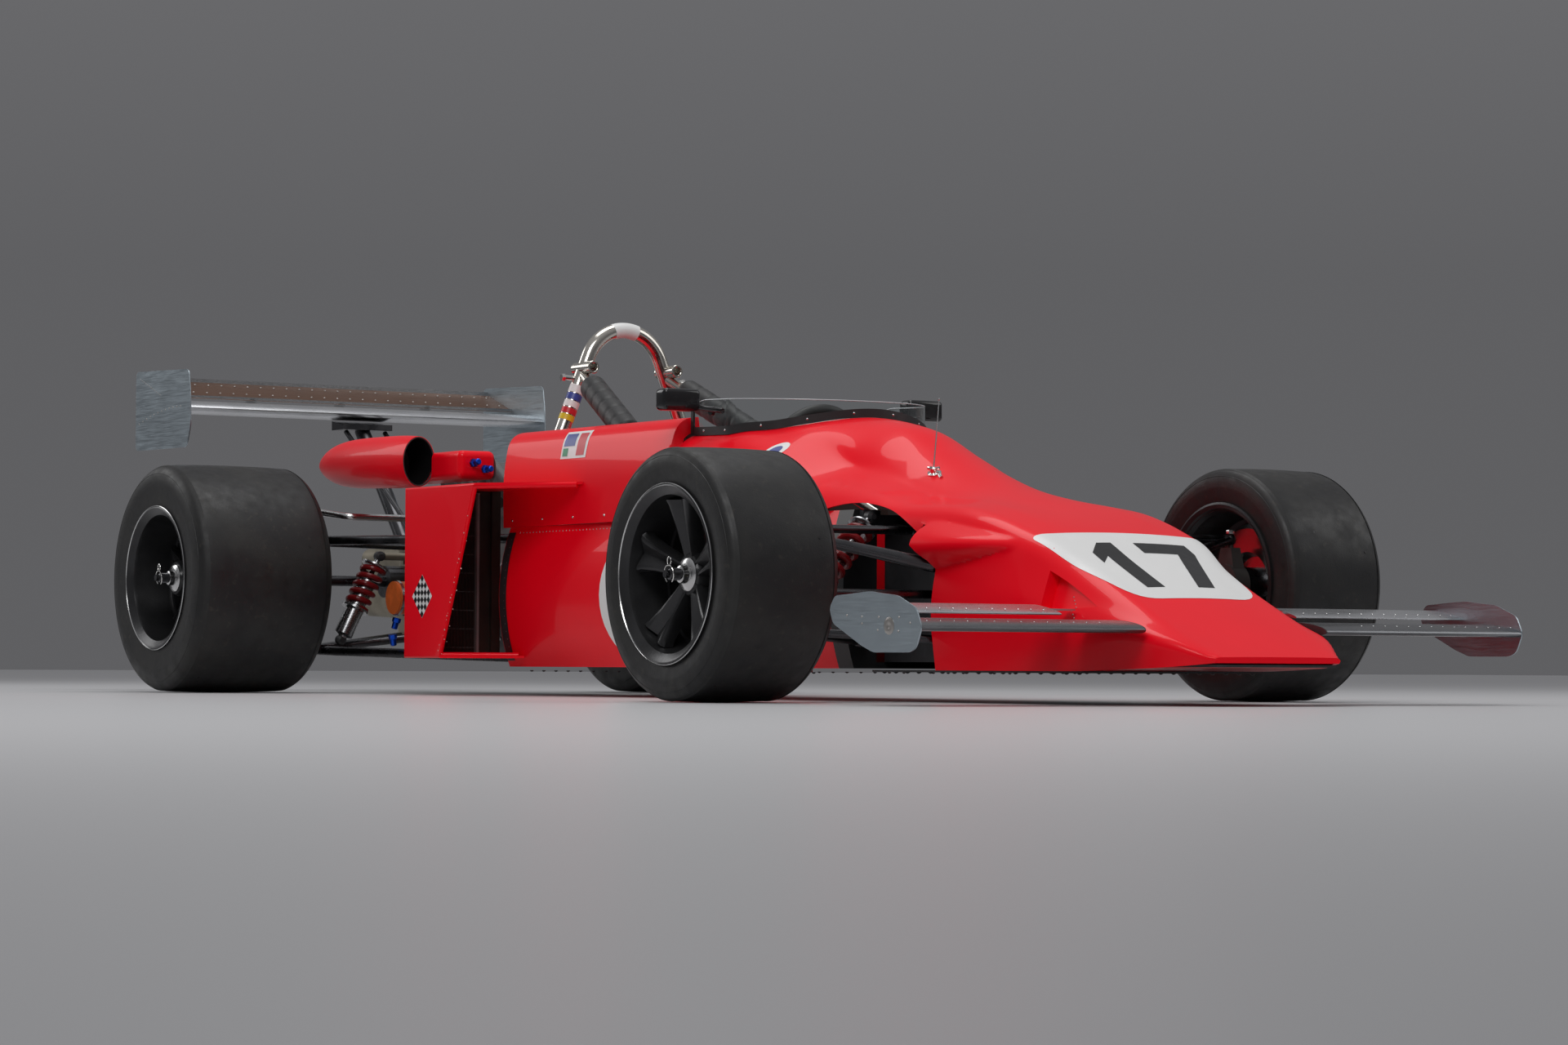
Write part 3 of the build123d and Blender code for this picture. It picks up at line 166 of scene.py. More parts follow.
def bare_metal(name, colour, rough, stretch=(1.0, 60.0, 60.0)):
    made = Material(name, colour, rough, 1.0)
    lines = made.noise(14.0, 4.0, stretch)
    made.roughen(lines, rough * 0.8, rough * 1.35)
    return made.blotches(scaled(colour, 0.72), 9.0, 3.0, 0.45, 0.8, 0.6).bump(lines, 0.10, 0.0004)


def cast_metal(name, colour, rough=0.55, metal=0.8, coarse=240.0):
    made = Material(name, colour, rough, metal).grain(coarse, 5.0, 0.35, 0.0008)
    return made.blotches(scaled(colour, 0.45), 11.0, 6.0, 0.42, 0.72, 0.8)


def chrome(name, colour, rough=0.07):
    made = Material(name, colour, rough, 1.0)
    return made.roughen(made.noise(22.0, 5.0), rough, rough * 2.6)


def plastic(name, colour, rough, strength=0.08):
    made = Material(name, colour, rough).grain(420.0, 3.0, strength, 0.0006)
    return made.blotches([min(1, c * 1.7 + 0.006) for c in colour], 26.0, 6.0, 0.5, 0.85)


def flat(name, colour, rough=0.34):
    made = Material(name, colour, rough)
    return made.roughen(made.noise(30.0), rough, rough * 1.3)


def tyre_rubber(name, dust):
    """Worn slick: near black, with dust, scuffs and a faint brown bloom."""
    made = Material(name, (0.0095, 0.0095, 0.010), 0.5, Specular_IOR_Level=0.42)
    made.blotches((0.026, 0.025, 0.022), 7.0, 8.0, 0.42, 0.78, dust)
    made.blotches((0.050, 0.043, 0.034), 60.0, 6.0, 0.60, 0.78, dust * 0.7)
    made.roughen(made.noise(34.0, 7.0), 0.40, 0.62)
    return made.grain(300.0, 6.0, 0.30, 0.0009).grain(38.0, 4.0, 0.16, 0.0016)


def clear_perspex():
    made = Material("clear_perspex", (0.93, 0.96, 0.96), 0.02, Transmission_Weight=1.0, IOR=1.3)
    return made.grain(12.0, 3.0, 0.03)


def quilted():
    made = Material("quilted_pad", (0.011, 0.0115, 0.012), 0.5, Sheen_Weight=0.08)
    return made.grain(150.0, 5.0, 0.5, 0.001).grain(900.0, 3.0, 0.3, 0.0004)


def braid():
    made = Material("steel_braid", (0.50, 0.50, 0.50), 0.35, 1.0)
    strands = made.node("ShaderNodeTexWave", Vector=made.place, Scale=260.0)
    strands.bands_direction = "DIAGONAL"
    return made.bump(strands.outputs["Fac"], 0.6, 0.0006).grain(900.0, 3.0, 0.4, 0.0004)


TUB_BLACK_TO = 0.205        # station
RED, RED_SHADE = srgb(250, 4, 30), srgb(228, 2, 24)
EVEN = (20.0, 20.0, 20.0)   # a metal's grain without a direction
LOOKS = {
    "paint": paint("scarlet_paint", RED, RED_SHADE),
    "tub_paint": tub_paint(),
    "inner": cast_metal("bare_laminate", (0.05, 0.045, 0.04), 0.7, 0.0, 120.0),
    "white": flat("white_vinyl", (0.80, 0.80, 0.79)),
    "black": flat("black_vinyl", (0.008, 0.008, 0.009), 0.3),
    "trim": plastic("black_rubber", (0.016, 0.016, 0.017), 0.5),
    "gloss_black": plastic("gloss_black", (0.012, 0.012, 0.013), 0.1, 0.01),
    "satin_black": plastic("satin_black", (0.022, 0.022, 0.024), 0.42),
    "wing": bare_metal("brushed_aluminium", (0.62, 0.63, 0.65), 0.27),
    "wing_dark": bare_metal("dull_aluminium", (0.20, 0.205, 0.215), 0.28),
    "plate": bare_metal("endplate_aluminium", (0.40, 0.46, 0.50), 0.36, (30.0, 1.0, 30.0)),
    "bronze": bare_metal("bronze_strip", (0.20, 0.105, 0.065), 0.42),
    "steel": bare_metal("bright_steel", (0.58, 0.58, 0.58), 0.2, EVEN),
    "dark_steel": chrome("dark_steel", (0.085, 0.085, 0.09), 0.16),
    "chrome": chrome("chrome", (0.72, 0.71, 0.69)),
    "nickel": chrome("nickel_plate", (0.60, 0.57, 0.52), 0.10),
    "wheel": cast_metal("graphite_wheel", (0.042, 0.042, 0.044), 0.30, 0.6, 160.0),
    "cast": cast_metal("cast_aluminium", (0.33, 0.33, 0.33)),
    "cast_dark": cast_metal("cast_dark", (0.12, 0.115, 0.11)),
    "magnesium": cast_metal("gearbox_casting", (0.30, 0.27, 0.21)),
    "heat": bare_metal("heat_tinted_steel", (0.34, 0.27, 0.21), 0.32, (6.0, 30.0, 6.0)),
    "tread": tyre_rubber("slick_rubber", 0.75),
    "spring": paint("dark_red_spring", srgb(120, 18, 22), srgb(80, 12, 14)),
    "orange": plastic("orange_filter", srgb(196, 92, 36), 0.4),
    "blue": chrome("blue_anodised", srgb(30, 80, 200), 0.22),
    "yellow": plastic("yellow_cap", srgb(214, 190, 30), 0.4),
    "fins": cast_metal("radiator_fins", (0.050, 0.040, 0.034), 0.5, 0.6, 500.0),
    "rivet": bare_metal("rivet_heads", (0.42, 0.40, 0.38), 0.35, EVEN),
    "alloy": bare_metal("damper_alloy", (0.34, 0.34, 0.35), 0.24, EVEN),
    "flag_blue": plastic("blue_vinyl", srgb(52, 66, 140), 0.35, 0.03),
    "flag_red": plastic("red_vinyl", srgb(196, 30, 44), 0.35, 0.03),
    "flag_green": plastic("green_vinyl", srgb(20, 130, 86), 0.35, 0.03),
    "belt": plastic("belt_webbing", srgb(24, 30, 60), 0.8, 0.5),
    "seat_shell": plastic("seat_shell", (0.024, 0.023, 0.022), 0.55, 0.4),
    # a light grey line along the windscreen's top edge: a painted highlight
    "screen_highlight": flat("screen_highlight", (0.55, 0.58, 0.60), 0.2),
    "chip": plastic("bare_chips", srgb(214, 176, 170), 0.6),
    "leather": plastic("black_leather", (0.020, 0.019, 0.018), 0.5, 0.5),
    "clear": clear_perspex(),
    "quilt": quilted(),
    "braid": braid(),
    "floor": Material("studio_floor", (0.60, 0.60, 0.61), 0.35).grain(2.0, 3.0, 0.02),
}
M = {look: made.material for look, made in LOOKS.items()}
NODES_BY_LOOK = {
    "tub_paint": "tub", "paint": "bodywork radiator_pods intake_scoop", "clear": "windscreen",
    "trim": "windscreen_trim", "nickel": "roll_hoop", "quilt": "brace_pads", "seat_shell": "seat",
    "satin_black": "dash_panel front_bulkhead", "gloss_black": "mirrors", "chrome": "mast",
    "dark_steel": "front_wishbones front_dampers wing_post rear_links steering_column rack_bar "
                  "driveshaft_left driveshaft_right",
    "wing": "front_wings rear_wing", "plate": "front_endplates rear_endplates", "fins": "radiators",
    "cast": "engine", "heat": "exhaust", "magnesium": "gearbox", "orange": "oil_system",
    "cast_dark": "rear_uprights knuckle_left knuckle_right", "steel": "rear_antiroll_bar rear_dampers",
    "braid": "engine_hoses", "leather": "steering_wheel",
    "tread": "tyre_front_left tyre_front_right tyre_rear_left tyre_rear_right",
    "wheel": "wheel_front_left wheel_front_right wheel_rear_left wheel_rear_right",
}


def dress_nodes():
    for look, names in NODES_BY_LOOK.items():
        for name in names.split():
            NODES[name].data.materials.clear()
            NODES[name].data.materials.append(M[look])


# ------------------------------------------------------------------ mesh helpers
def outward(mesh, sharp_angle=0):
    """Turns the normals outward and, with an angle in degrees, marks the sharp edges."""
    bm = bmesh.new()
    bm.from_mesh(mesh)
    bmesh.ops.recalc_face_normals(bm, faces=bm.faces)
    for edge in bm.edges:
        if sharp_angle and len(edge.link_faces) == 2:
            edge.smooth = edge.calc_face_angle(0) < radians(sharp_angle)
    bm.to_mesh(mesh)
    bm.free()
    mesh.update()


def object_of(name, mesh):
    obj = bpy.data.objects.new(name, mesh)
    bpy.context.collection.objects.link(obj)
    return obj


def dress(obj, look, sharp_angle):
    mesh = obj.data
    mesh.materials.clear()
    mesh.materials.append(M[look])
    mesh.polygons.foreach_set("use_smooth", [True] * len(mesh.polygons))
    outward(mesh, sharp_angle)


def axes_of(axis):
    axis = axis.normalized()
    side = axis.cross(Z if abs(axis.z) < 0.9 else X).normalized()
    return axis, side, axis.cross(side)


def circle_of(centre, side, up, radius, count):
    turns = (2 * pi * k / count for k in range(count))
    return [centre + (side * cos(a) + up * sin(a)) * radius for a in turns]


def ring_faces(rings):
    """Faces between rings of vert numbers, where a ring of one vert is a tip."""
    faces = []
    for a, b in zip(rings, rings[1:]):
        for k in range(max(len(a), len(b)) if len(a) + len(b) > 2 else 0):
            corners = (a[k % len(a)], a[(k + 1) % len(a)], b[(k + 1) % len(b)], b[k % len(b)])
            faces.append(tuple(dict.fromkeys(corners)))
    return faces


class Shape:
    """Collects many small solids into one mesh. Each form returns the shape, so that calls can be chained."""

    def __init__(self):
        self.verts = []
        self.faces = []

    def add(self, verts, faces):
        start = len(self.verts)
        self.verts += [Vector(v) for v in verts]
        self.faces += [tuple(i + start for i in f) for f in faces]
        return self

    def loft(self, rings):
        """A skin over rings of equal size, closed at both ends."""
        size, last = len(rings[0]), len(rings) * len(rings[0])
        faces = ring_faces([range(start, start + size) for start in range(0, last, size)])
        faces += [tuple(range(size)), tuple(range(last - size, last))[::-1]]
        return self.add([v for ring in rings for v in ring], faces)

    def extruded(self, outline, low, high, plan=False):
        """A side outline (station, z) from x low to high, or a plan (x, station) from z low to high."""
        return self.loft([[at(a, b, t) if plan else at(t, a, b) for a, b in outline] for t in (low, high)])

    def turned(self, origin, axis, profile, segments=24):
        """Surface of revolution: profile is (distance along the axis, radius)."""
        axis, side, up = axes_of(axis)
        rings, verts = [], []
        for along, radius in profile:
            count = segments if radius > 1e-7 else 1
            rings.append(range(len(verts), len(verts) + count))
            verts += circle_of(origin + axis * along, side, up, radius, count)
        return self.add(verts, ring_faces(rings))

    def tube(self, points, radius, segments=12):
        """A round bar with flat ends; radius is one number or a list, one for each point."""
        radii = radius if isinstance(radius, list) else [radius] * len(points)
        verts, side = [], None
        for index, point in enumerate(points):
            ahead = points[min(index + 1, len(points) - 1)] - points[max(index - 1, 0)]
            axis = ahead.normalized()
            side = side or axes_of(axis)[1]
            side = (side - axis * side.dot(axis)).normalized()
            verts += circle_of(point, side, axis.cross(side), radii[index], segments)
        count = len(verts)
        rings = [range(start, start + segments) for start in range(0, count, segments)]
        return self.add(verts + [points[0], points[-1]], ring_faces([[count]] + rings + [[count + 1]]))

    def slab(self, centre, size, turn=None):
        half = Vector(size) / 2
        corners = [Vector((x, y, z)) * half for x in (-1, 1) for y in (-1, 1) for z in (-1, 1)]
        corners = [centre + (turn @ c if turn else c) for c in corners]
        return self.add(corners, [
            (0, 1, 3, 2), (4, 6, 7, 5), (0, 4, 5, 1), (2, 3, 7, 6), (0, 2, 6, 4), (1, 5, 7, 3),
        ])

    def rounded_box(self, centre, size, radius, segments=4):
        bm = bmesh.new()
        bmesh.ops.create_cube(bm, size=1.0)
        for v in bm.verts:
            v.co = v.co * Vector(size)
        bmesh.ops.bevel(bm, geom=bm.edges[:], offset=radius, segments=segments, affect="EDGES", profile=0.5)
        bm.verts.index_update()
        self.add([centre + v.co for v in bm.verts], [tuple(v.index for v in f.verts) for f in bm.faces])
        bm.free()
        return self

    def dome(self, centre, normal, radius, segments=8):
        """A rivet or screw head."""
        profile = [(a * radius, r * radius) for a, r in ((0, 1), (0.45, 0.86), (0.75, 0.4), (0.82, 0))]
        return self.turned(centre - normal * radius * 0.2, normal, profile, segments)

    def nut(self, centre, axis, radius, height):
        profile = [(0, 0), (0, radius), (height * 0.8, radius), (height, radius * 0.85), (height, 0)]
        return self.turned(centre, axis, profile, 6)

    def loose(self, name="cutter"):
        """An object for booleans, which rides on nothing."""
        mesh = bpy.data.meshes.new(name)
        mesh.from_pydata([tuple(v) for v in self.verts], [], self.faces)
        outward(mesh)
        return object_of(name, mesh)

    def make(self, name, look, body="body", sharp_angle=35):
        mesh = bpy.data.meshes.new(name)
        mesh.from_pydata([tuple(v) for v in self.verts], [], self.faces)
        mesh.validate()
        obj = object_of(name, mesh)
        dress(obj, look, sharp_angle)
        if body:
            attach(obj, body)
        return obj


def smooth_line(points, steps=8):
    """Points along a Catmull-Rom curve through the given ones."""
    points = [Vector(p) for p in points]
    padded = [points[0] * 2 - points[1]] + points + [points[-1] * 2 - points[-2]]
    line = []
    for a, b, c, d in zip(padded, padded[1:], padded[2:], padded[3:]):
        for t in (k / steps for k in range(steps)):
            square, cube = 2 * a - 5 * b + 4 * c - d, 3 * b - a - 3 * c + d
            line.append(0.5 * (2 * b + (c - a) * t + square * t * t + cube * t ** 3))
    return line + [points[-1]]


def curve_through(xs, ys, x):
    """Monotone cubic through a table, so that nothing overshoots."""
    if x <= xs[0]:
        return ys[0]
    if x >= xs[-1]:
        return ys[-1]
    slopes = [(b - a) / (q - p) for a, b, p, q in zip(ys, ys[1:], xs, xs[1:])]
    inner = [0.0 if s * t <= 0 else 2 * s * t / (s + t) for s, t in zip(slopes, slopes[1:])]
    tangents = [slopes[0], *inner, slopes[-1]]
    k = max(i for i, value in enumerate(xs) if value <= x)
    h = xs[k + 1] - xs[k]
    t = (x - xs[k]) / h
    return (
        (2 * t ** 3 - 3 * t * t + 1) * ys[k] + (t ** 3 - 2 * t * t + t) * h * tangents[k]
        + (3 * t * t - 2 * t ** 3) * ys[k + 1] + (t ** 3 - t * t) * h * tangents[k + 1]
    )


def cut(obj, cutter):
    modifier = obj.modifiers.new("cut", "BOOLEAN")
    modifier.operation = "DIFFERENCE"
    modifier.object = cutter
    modifier.solver = "EXACT"
    bpy.context.view_layer.update()
    mesh = bpy.data.meshes.new_from_object(obj.evaluated_get(bpy.context.evaluated_depsgraph_get()))
    obj.modifiers.clear()
    obj.data = mesh
    bpy.data.objects.remove(cutter)


# ------------------------------------------------------------------ body
# Columns: station, then the section's top z, hump x and z, shoulder x and z, waist x and z, foot x and z
BODY = (
    (-0.906, 0.096, 0.090, 0.096, 0.150, 0.095, 0.158, 0.090, 0.154, 0.084),
    (-0.783, 0.156, 0.100, 0.155, 0.168, 0.153, 0.222, 0.140, 0.212, 0.074),
    (-0.524, 0.284, 0.114, 0.281, 0.190, 0.276, 0.254, 0.170, 0.240, 0.067),
    (-0.393, 0.350, 0.137, 0.347, 0.228, 0.342, 0.276, 0.180, 0.256, 0.067),
    (-0.150, 0.424, 0.150, 0.418, 0.258, 0.404, 0.298, 0.190, 0.282, 0.067),
    (0.000, 0.466, 0.150, 0.432, 0.278, 0.410, 0.306, 0.220, 0.296, 0.067),
    (0.110, 0.507, 0.150, 0.454, 0.284, 0.432, 0.310, 0.270, 0.302, 0.100),
    (0.210, 0.551, 0.150, 0.486, 0.284, 0.442, 0.312, 0.340, 0.312, 0.200),
    (0.330, 0.604, 0.160, 0.508, 0.276, 0.462, 0.312, 0.442, 0.317, 0.380),
    (0.520, 0.634, 0.180, 0.600, 0.270, 0.548, 0.318, 0.500, 0.320, 0.380),
    (0.660, 0.642, 0.185, 0.616, 0.274, 0.591, 0.320, 0.520, 0.321, 0.380),
    (0.857, 0.648, 0.200, 0.616, 0.282, 0.592, 0.321, 0.530, 0.322, 0.380),
    (0.866, 0.650, 0.200, 0.647, 0.292, 0.638, 0.321, 0.540, 0.322, 0.380),
    (1.645, 0.652, 0.200, 0.648, 0.302, 0.641, 0.321, 0.530, 0.318, 0.380),
)
STATIONS = [row[0] for row in BODY]
COLUMNS = list(zip(*BODY))[1:]
NOSE_TIP, BODY_REAR = STATIONS[0], STATIONS[-1]
NOSE_JOIN = -0.150          # station where the nose's lower half ends
STEP_STATIONS = [0.857, 0.859, 0.8615, 0.864, 0.866]         # over the step behind the screen
JOINT_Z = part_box("tub")[1].z + 0.0003
ARCH = ((0.262, JOINT_Z), (0.120, 0.421), (NOSE_JOIN, 0.292))
FAIRING_FRONT = (-0.146, 0.326, 0.039)                       # station, z and radius of the fairing's ends
FAIRING_REAR = (-0.372, 0.324, 0.008)
FAIRING_OUT, FAIRING_SPREAD = 0.047, 1.32
SHELL = 0.006
INNER_NEAR = 0.0003         # a face this near the inner skin is an inner face
SHOULDER_R = 0.030
OPENING_R, OPENING_CENTRE, OPENING_HALF, OPENING_REAR = 0.244, 0.764, 0.236, 1.450
VENT = ((-0.466, 0.268), (-0.474, 0.186), (-0.612, 0.194))   # station and z of its corners
VENT_DEPTH = 0.030
LEG_HOLE_R = 0.0215


def body_row(station):
    return [curve_through(STATIONS, column, station) for column in COLUMNS]


def arc_points(half, edge, top, count):
    """Half of the shallow arc through (half, edge), (0, top) and the first one's mirror image."""
    shares = [1 - k / count for k in range(count + 1)]
    rise = top - edge
    if rise < 1e-4:
        return [(half * share, top) for share in shares]
    radius = (half * half + rise * rise) / (2 * rise)
    reach = atan2(half, radius - rise)
    return [(radius * sin(reach * share), top - radius + radius * cos(reach * share)) for share in shares]


def rounded(points, radii, steps=5):
    """Rounds the inner corners of an open line."""
    line = [Vector(points[0])]
    for before, here, after, radius in zip(points, points[1:], points[2:], radii):
        here = Vector(here)
        back, on = Vector(before) - here, Vector(after) - here
        reach = min(radius, back.length * 0.45, on.length * 0.45)
        start, end = here + back.normalized() * reach, here + on.normalized() * reach
        for t in (k / steps for k in range(steps + 1)):
            line.append(start * (1 - t) ** 2 + here * 2 * t * (1 - t) + end * t * t)
    return line + [Vector(points[-1])]


def resampled(line, count):
    """The same line with evenly spaced points."""
    lengths = [0.0]
    for a, b in zip(line, line[1:]):
        lengths.append(lengths[-1] + (b - a).length)
    out, k = [], 0
    for i in range(count):
        target = lengths[-1] * i / (count - 1)
        while k < len(lengths) - 2 and lengths[k + 1] < target:
            k += 1
        span = lengths[k + 1] - lengths[k]
        out.append(line[k].lerp(line[k + 1], (target - lengths[k]) / span if span else 0.0))
    return out


def fairing_out(station, z):
    """How far the fairing over the front links swells the side out."""
    (s0, z0, r0), (s1, z1, r1) = FAIRING_FRONT, FAIRING_REAR
    share = (station - s0) / (s1 - s0)
    if share > 1.0 or share < -0.2:
        return 0.0
    share = max(share, 0.0)
    off = (z - (z0 + (z1 - z0) * share)) / ((r0 + (r1 - r0) * share) * FAIRING_SPREAD)
    if abs(off) >= 1.0:
        return 0.0
    return FAIRING_OUT * (1 - off * off) ** 1.15 * (1 - share ** 2.2) ** 1.2


def side_outline(station, inset, count):
    """Half section from the middle of the top, over the shoulder, down the side to the foot."""
    top, hx, hz, sx, sz, wx, wz, fx, fz = body_row(station)
    crown = arc_points(hx, hz, top, 20)[::-1]
    radius = SHOULDER_R * min(1.0, max(0.25, (station - NOSE_TIP) / 0.5))
    rest = rounded([crown[-4], (hx, hz), (sx, sz), (wx, wz), (fx, fz)], (0.10, radius * 1.6, 0.06), 8)
    line = resampled([Vector(p) for p in crown[:-4]] + rest, count)
    out = [Vector((x + (fairing_out(station, z) if x > 0.2 else 0.0), z)) for x, z in line]
    if not inset:
        return out
    floor = fz + (inset if station < NOSE_JOIN else -inset)
    moved = []
    for index, p in enumerate(out):
        ahead = out[min(index + 1, len(out) - 1)] - out[max(index - 1, 0)]
        normal = Vector((-ahead.y, ahead.x)).normalized()
        q = p - normal * inset if normal.y > 0 or normal.x > 0 else p + normal * inset
        moved.append(Vector((max(q.x, 0.0), max(q.y, floor))))
    return moved


def body_solid(name, inset, stations, count):
    rings = []
    for station in stations:
        half = side_outline(station, inset, count)
        outline = half + [Vector((-p.x, p.y)) for p in half[:0:-1]]
        rings.append([at(p.x, station, p.y) for p in outline])
    return Shape().loft(rings).loose(name)


def arc_through(a, b, c, count=24):
    """Points on the circle through three points, from a to c."""
    (ax, ay), (bx, by), (cx, cy) = a, b, c
    d = 2 * (ax * (by - cy) + bx * (cy - ay) + cx * (ay - by))
    aa, bb, cc = ax * ax + ay * ay, bx * bx + by * by, cx * cx + cy * cy
    ux = (aa * (by - cy) + bb * (cy - ay) + cc * (ay - by)) / d
    uy = (aa * (cx - bx) + bb * (ax - cx) + cc * (bx - ax)) / d
    radius = sqrt((ax - ux) ** 2 + (ay - uy) ** 2)
    start, via, end = (atan2(y - uy, x - ux) for x, y in (a, b, c))
    sweep = (end - start) % (2 * pi)
    if (via - start) % (2 * pi) > sweep:
        sweep -= 2 * pi
    turns = (start + sweep * k / count for k in range(count + 1))
    return [(ux + radius * cos(turn), uy + radius * sin(turn)) for turn in turns]


def opening_points(grow=0.0):
    """The cockpit opening's front arc, its half-width and the station where the arc ends."""
    radius, half = OPENING_R + grow, OPENING_HALF + grow
    front = OPENING_CENTRE - sqrt(radius * radius - half * half)
    arc = arc_through((-half, front), (0, OPENING_CENTRE - radius), (half, front), 40)
    return arc, half, front


def vent_wedge(sign, grow):
    """The recess in the nose's side: deep at its rear wall, running out forwards."""
    (sa, za), (sb, zb), (sf, zf) = VENT
    outer, inner = [], []
    for s, z, depth in (
        (sa + grow, za + grow, VENT_DEPTH), (sb + grow, zb - grow, VENT_DEPTH), (sf - 2 * grow, zf, 0.001),
    ):
        _, _, _, sx, sz, wx, wz, _, _ = body_row(s)
        x = sx + (wx - sx) * (sz - z) / (sz - wz)
        outer.append(at(sign * (x + 0.03), s, z))
        inner.append(at(sign * (x - depth - grow), s, z))
    return Shape().loft([outer, inner]).loose()


def body_shell():
    """All cuts are made on the solid, before its inside is taken out."""
    stations, s = [], NOSE_TIP
    while s < BODY_REAR:
        stations.append(s)
        s += 0.009 if -0.42 < s < -0.12 else 0.018
    stations = sorted([x for x in stations if not 0.850 < x < 0.872] + STEP_STATIONS + [BODY_REAR])
    outer = body_solid("bodywork_shell", 0.0, stations, 110)
    coarse = [x for x in stations[3:-1:2] if not 0.840 < x < 0.885] + [0.853, 0.872, BODY_REAR + 0.01]
    inner = body_solid("cutter", SHELL, sorted(coarse), 80)
    for sign in SIGNS:
        cut(outer, vent_wedge(sign, 0.0))
        cut(inner, vent_wedge(sign, SHELL))
    arc, half, _ = opening_points()
    cut(outer, Shape().extruded(arc + [(half, OPENING_REAR), (-half, OPENING_REAR)], 0.2, 0.8, True).loose())
    arch = arc_through(*ARCH) + [(NOSE_JOIN, -0.05), (2.0, -0.05), (2.0, JOINT_Z)]
    cut(outer, Shape().extruded(arch, -0.5, 0.5).loose())
    for sign in SIGNS:
        foot, top = hoop_leg(sign)
        hole = [(0.0, 0.0), (0.0, LEG_HOLE_R), (0.5, LEG_HOLE_R), (0.5, 0.0)]
        cut(outer, Shape().turned(foot, top - foot, hole, 32).loose())
    inner_tree = tree_of(inner)
    cut(outer, inner)
    dress(outer, "paint", 32)
    outer.data.materials.append(M["inner"])
    for face in outer.data.polygons:
        if inner_tree.find_nearest(face.center)[3] < INNER_NEAR:
            face.material_index = 1
    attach(outer, "body")
    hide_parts("bodywork")
    return outer


# ------------------------------------------------------------------ tyres and wheels
# Outward from the tyre's middle (as a share of half the width), then the radius (as a share between the
# rim's seat and the tread)
TYRE_SIDE = (
    (0.995, 0.46), (1.0, 0.56), (0.995, 0.68), (0.975, 0.80), (0.93, 0.90), (0.87, 0.955), (0.80, 0.975),
)
TYRE_RINGS = ((0.999, 0.60), (0.978, 0.79), (0.885, 0.945))
# share of half the width, then the drop as a share of the radius
TREAD_CROWN = ((0.66, 0.006), (0.33, 0.0015), (0.0, 0.0))
BEAD_IN = {"front": 0.018, "rear": 0.016}                    # tyre's side to its bead
RIM_R = 0.1825
TYRE_SEAT_R = RIM_R - 0.012
RIM_SEAT = 0.165
RIM_INNER = RIM_SEAT - 0.006
DISC_R = 0.126
HUB_R = 0.044
# Outward from the tyre's middle: rim half-width, well, spoke at hub and at rim, hub face, upright's middle
WHEEL_PLACES = {
    "front": (0.132, -0.020, 0.056, 0.092, 0.074, -0.095),
    "rear": (0.1868, 0.020, 0.060, 0.070, 0.128, -0.165),
}
# share of the way from hub to rim, then the spoke's width and depth there
SPOKE = (
    (0.0, 0.034, 0.040), (0.12, 0.036, 0.038), (0.55, 0.052, 0.032), (0.9, 0.074, 0.028), (1.0, 0.088, 0.028),
)
SPOKE_RIDGE = ((-0.5, -0.5), (-0.5, 0.22), (-0.43, 0.47), (-0.34, 0.5), (-0.26, 0.42))


def wheel_frames():
    """Name's end, hub, outward way and body of each wheel."""
    for end, hub in HUBS:
        for side, sign in SIDES:
            yield end, f"{end}_{side}", Vector((hub.x * sign, hub.y, hub.z)), X * sign, f"{end}_wheel_{side}"


def around(angle):
    return Vector((0, cos(angle), sin(angle)))


def tyre_profile(half, radius, bead):
    depth = radius - TYRE_SEAT_R
    side = [(bead, TYRE_SEAT_R + 0.001), (bead + 0.010, TYRE_SEAT_R + 0.010)]
    side.append((bead + 0.004 + (half - bead) * 0.5, TYRE_SEAT_R + depth * 0.20))
    side += [(half * u, TYRE_SEAT_R + depth * v) for u, v in TYRE_SIDE]
    right = [(p.x, p.y) for p in smooth_line([(u, v, 0) for u, v in side], 5)]
    right += [(half * u, radius * (1 - drop)) for u, drop in TREAD_CROWN]
    return [(-u, v) for u, v in right] + [(u, v) for u, v in right[-2::-1]]


def tyres():
    for end, tag, hub, _, body in wheel_frames():
        low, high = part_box(f"tyre_{tag}")
        half, _, radius = (high - low) / 2
        profile = tyre_profile(half, radius, half - BEAD_IN[end])
        slick = Shape().turned(hub, X, profile + [profile[0]], 160)
        made = slick.make(f"tyre_{tag}_slick", "tread", body, 40)
        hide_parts(f"tyre_{tag}")
        tyre_trim(tag, hub, half, radius, body)


def tyre_trim(tag, hub, half, radius, body):
    """Moulded rings on the sidewalls, and in the tread a black disc at each wear hole, painted shade for the
    hole.
    """
    rings, hole_shade = Shape(), Shape()
    for way in (-X, X):
        for u, v in TYRE_RINGS:
            r = TYRE_SEAT_R + (radius - TYRE_SEAT_R) * v
            crest = min(half * u + 0.0008, half)
            ring = [(half * u - 0.004, r - 0.004), (crest, r), (half * u - 0.005, r + 0.003)]
            rings.turned(hub, way, ring, 128)
    # A black disc at each wear hole: painted shade inside the hole.
    for k in range(14):
        out = around(2 * pi * k / 14 + 0.31 * (k % 3))
        place = hub + X * half * (0.62, -0.38, 0.12, -0.66, 0.36)[k % 5] + out * (radius - 0.002)
        hole_shade.turned(place, out, [(0, 0), (0, 0.0026), (0.0014, 0.0026), (0.0014, 0)], 10)
    rings.make(f"tyre_rings_{tag}", "tread", body, 60)
    hole_shade.make(f"tread_hole_shade_{tag}", "black", body, 60)


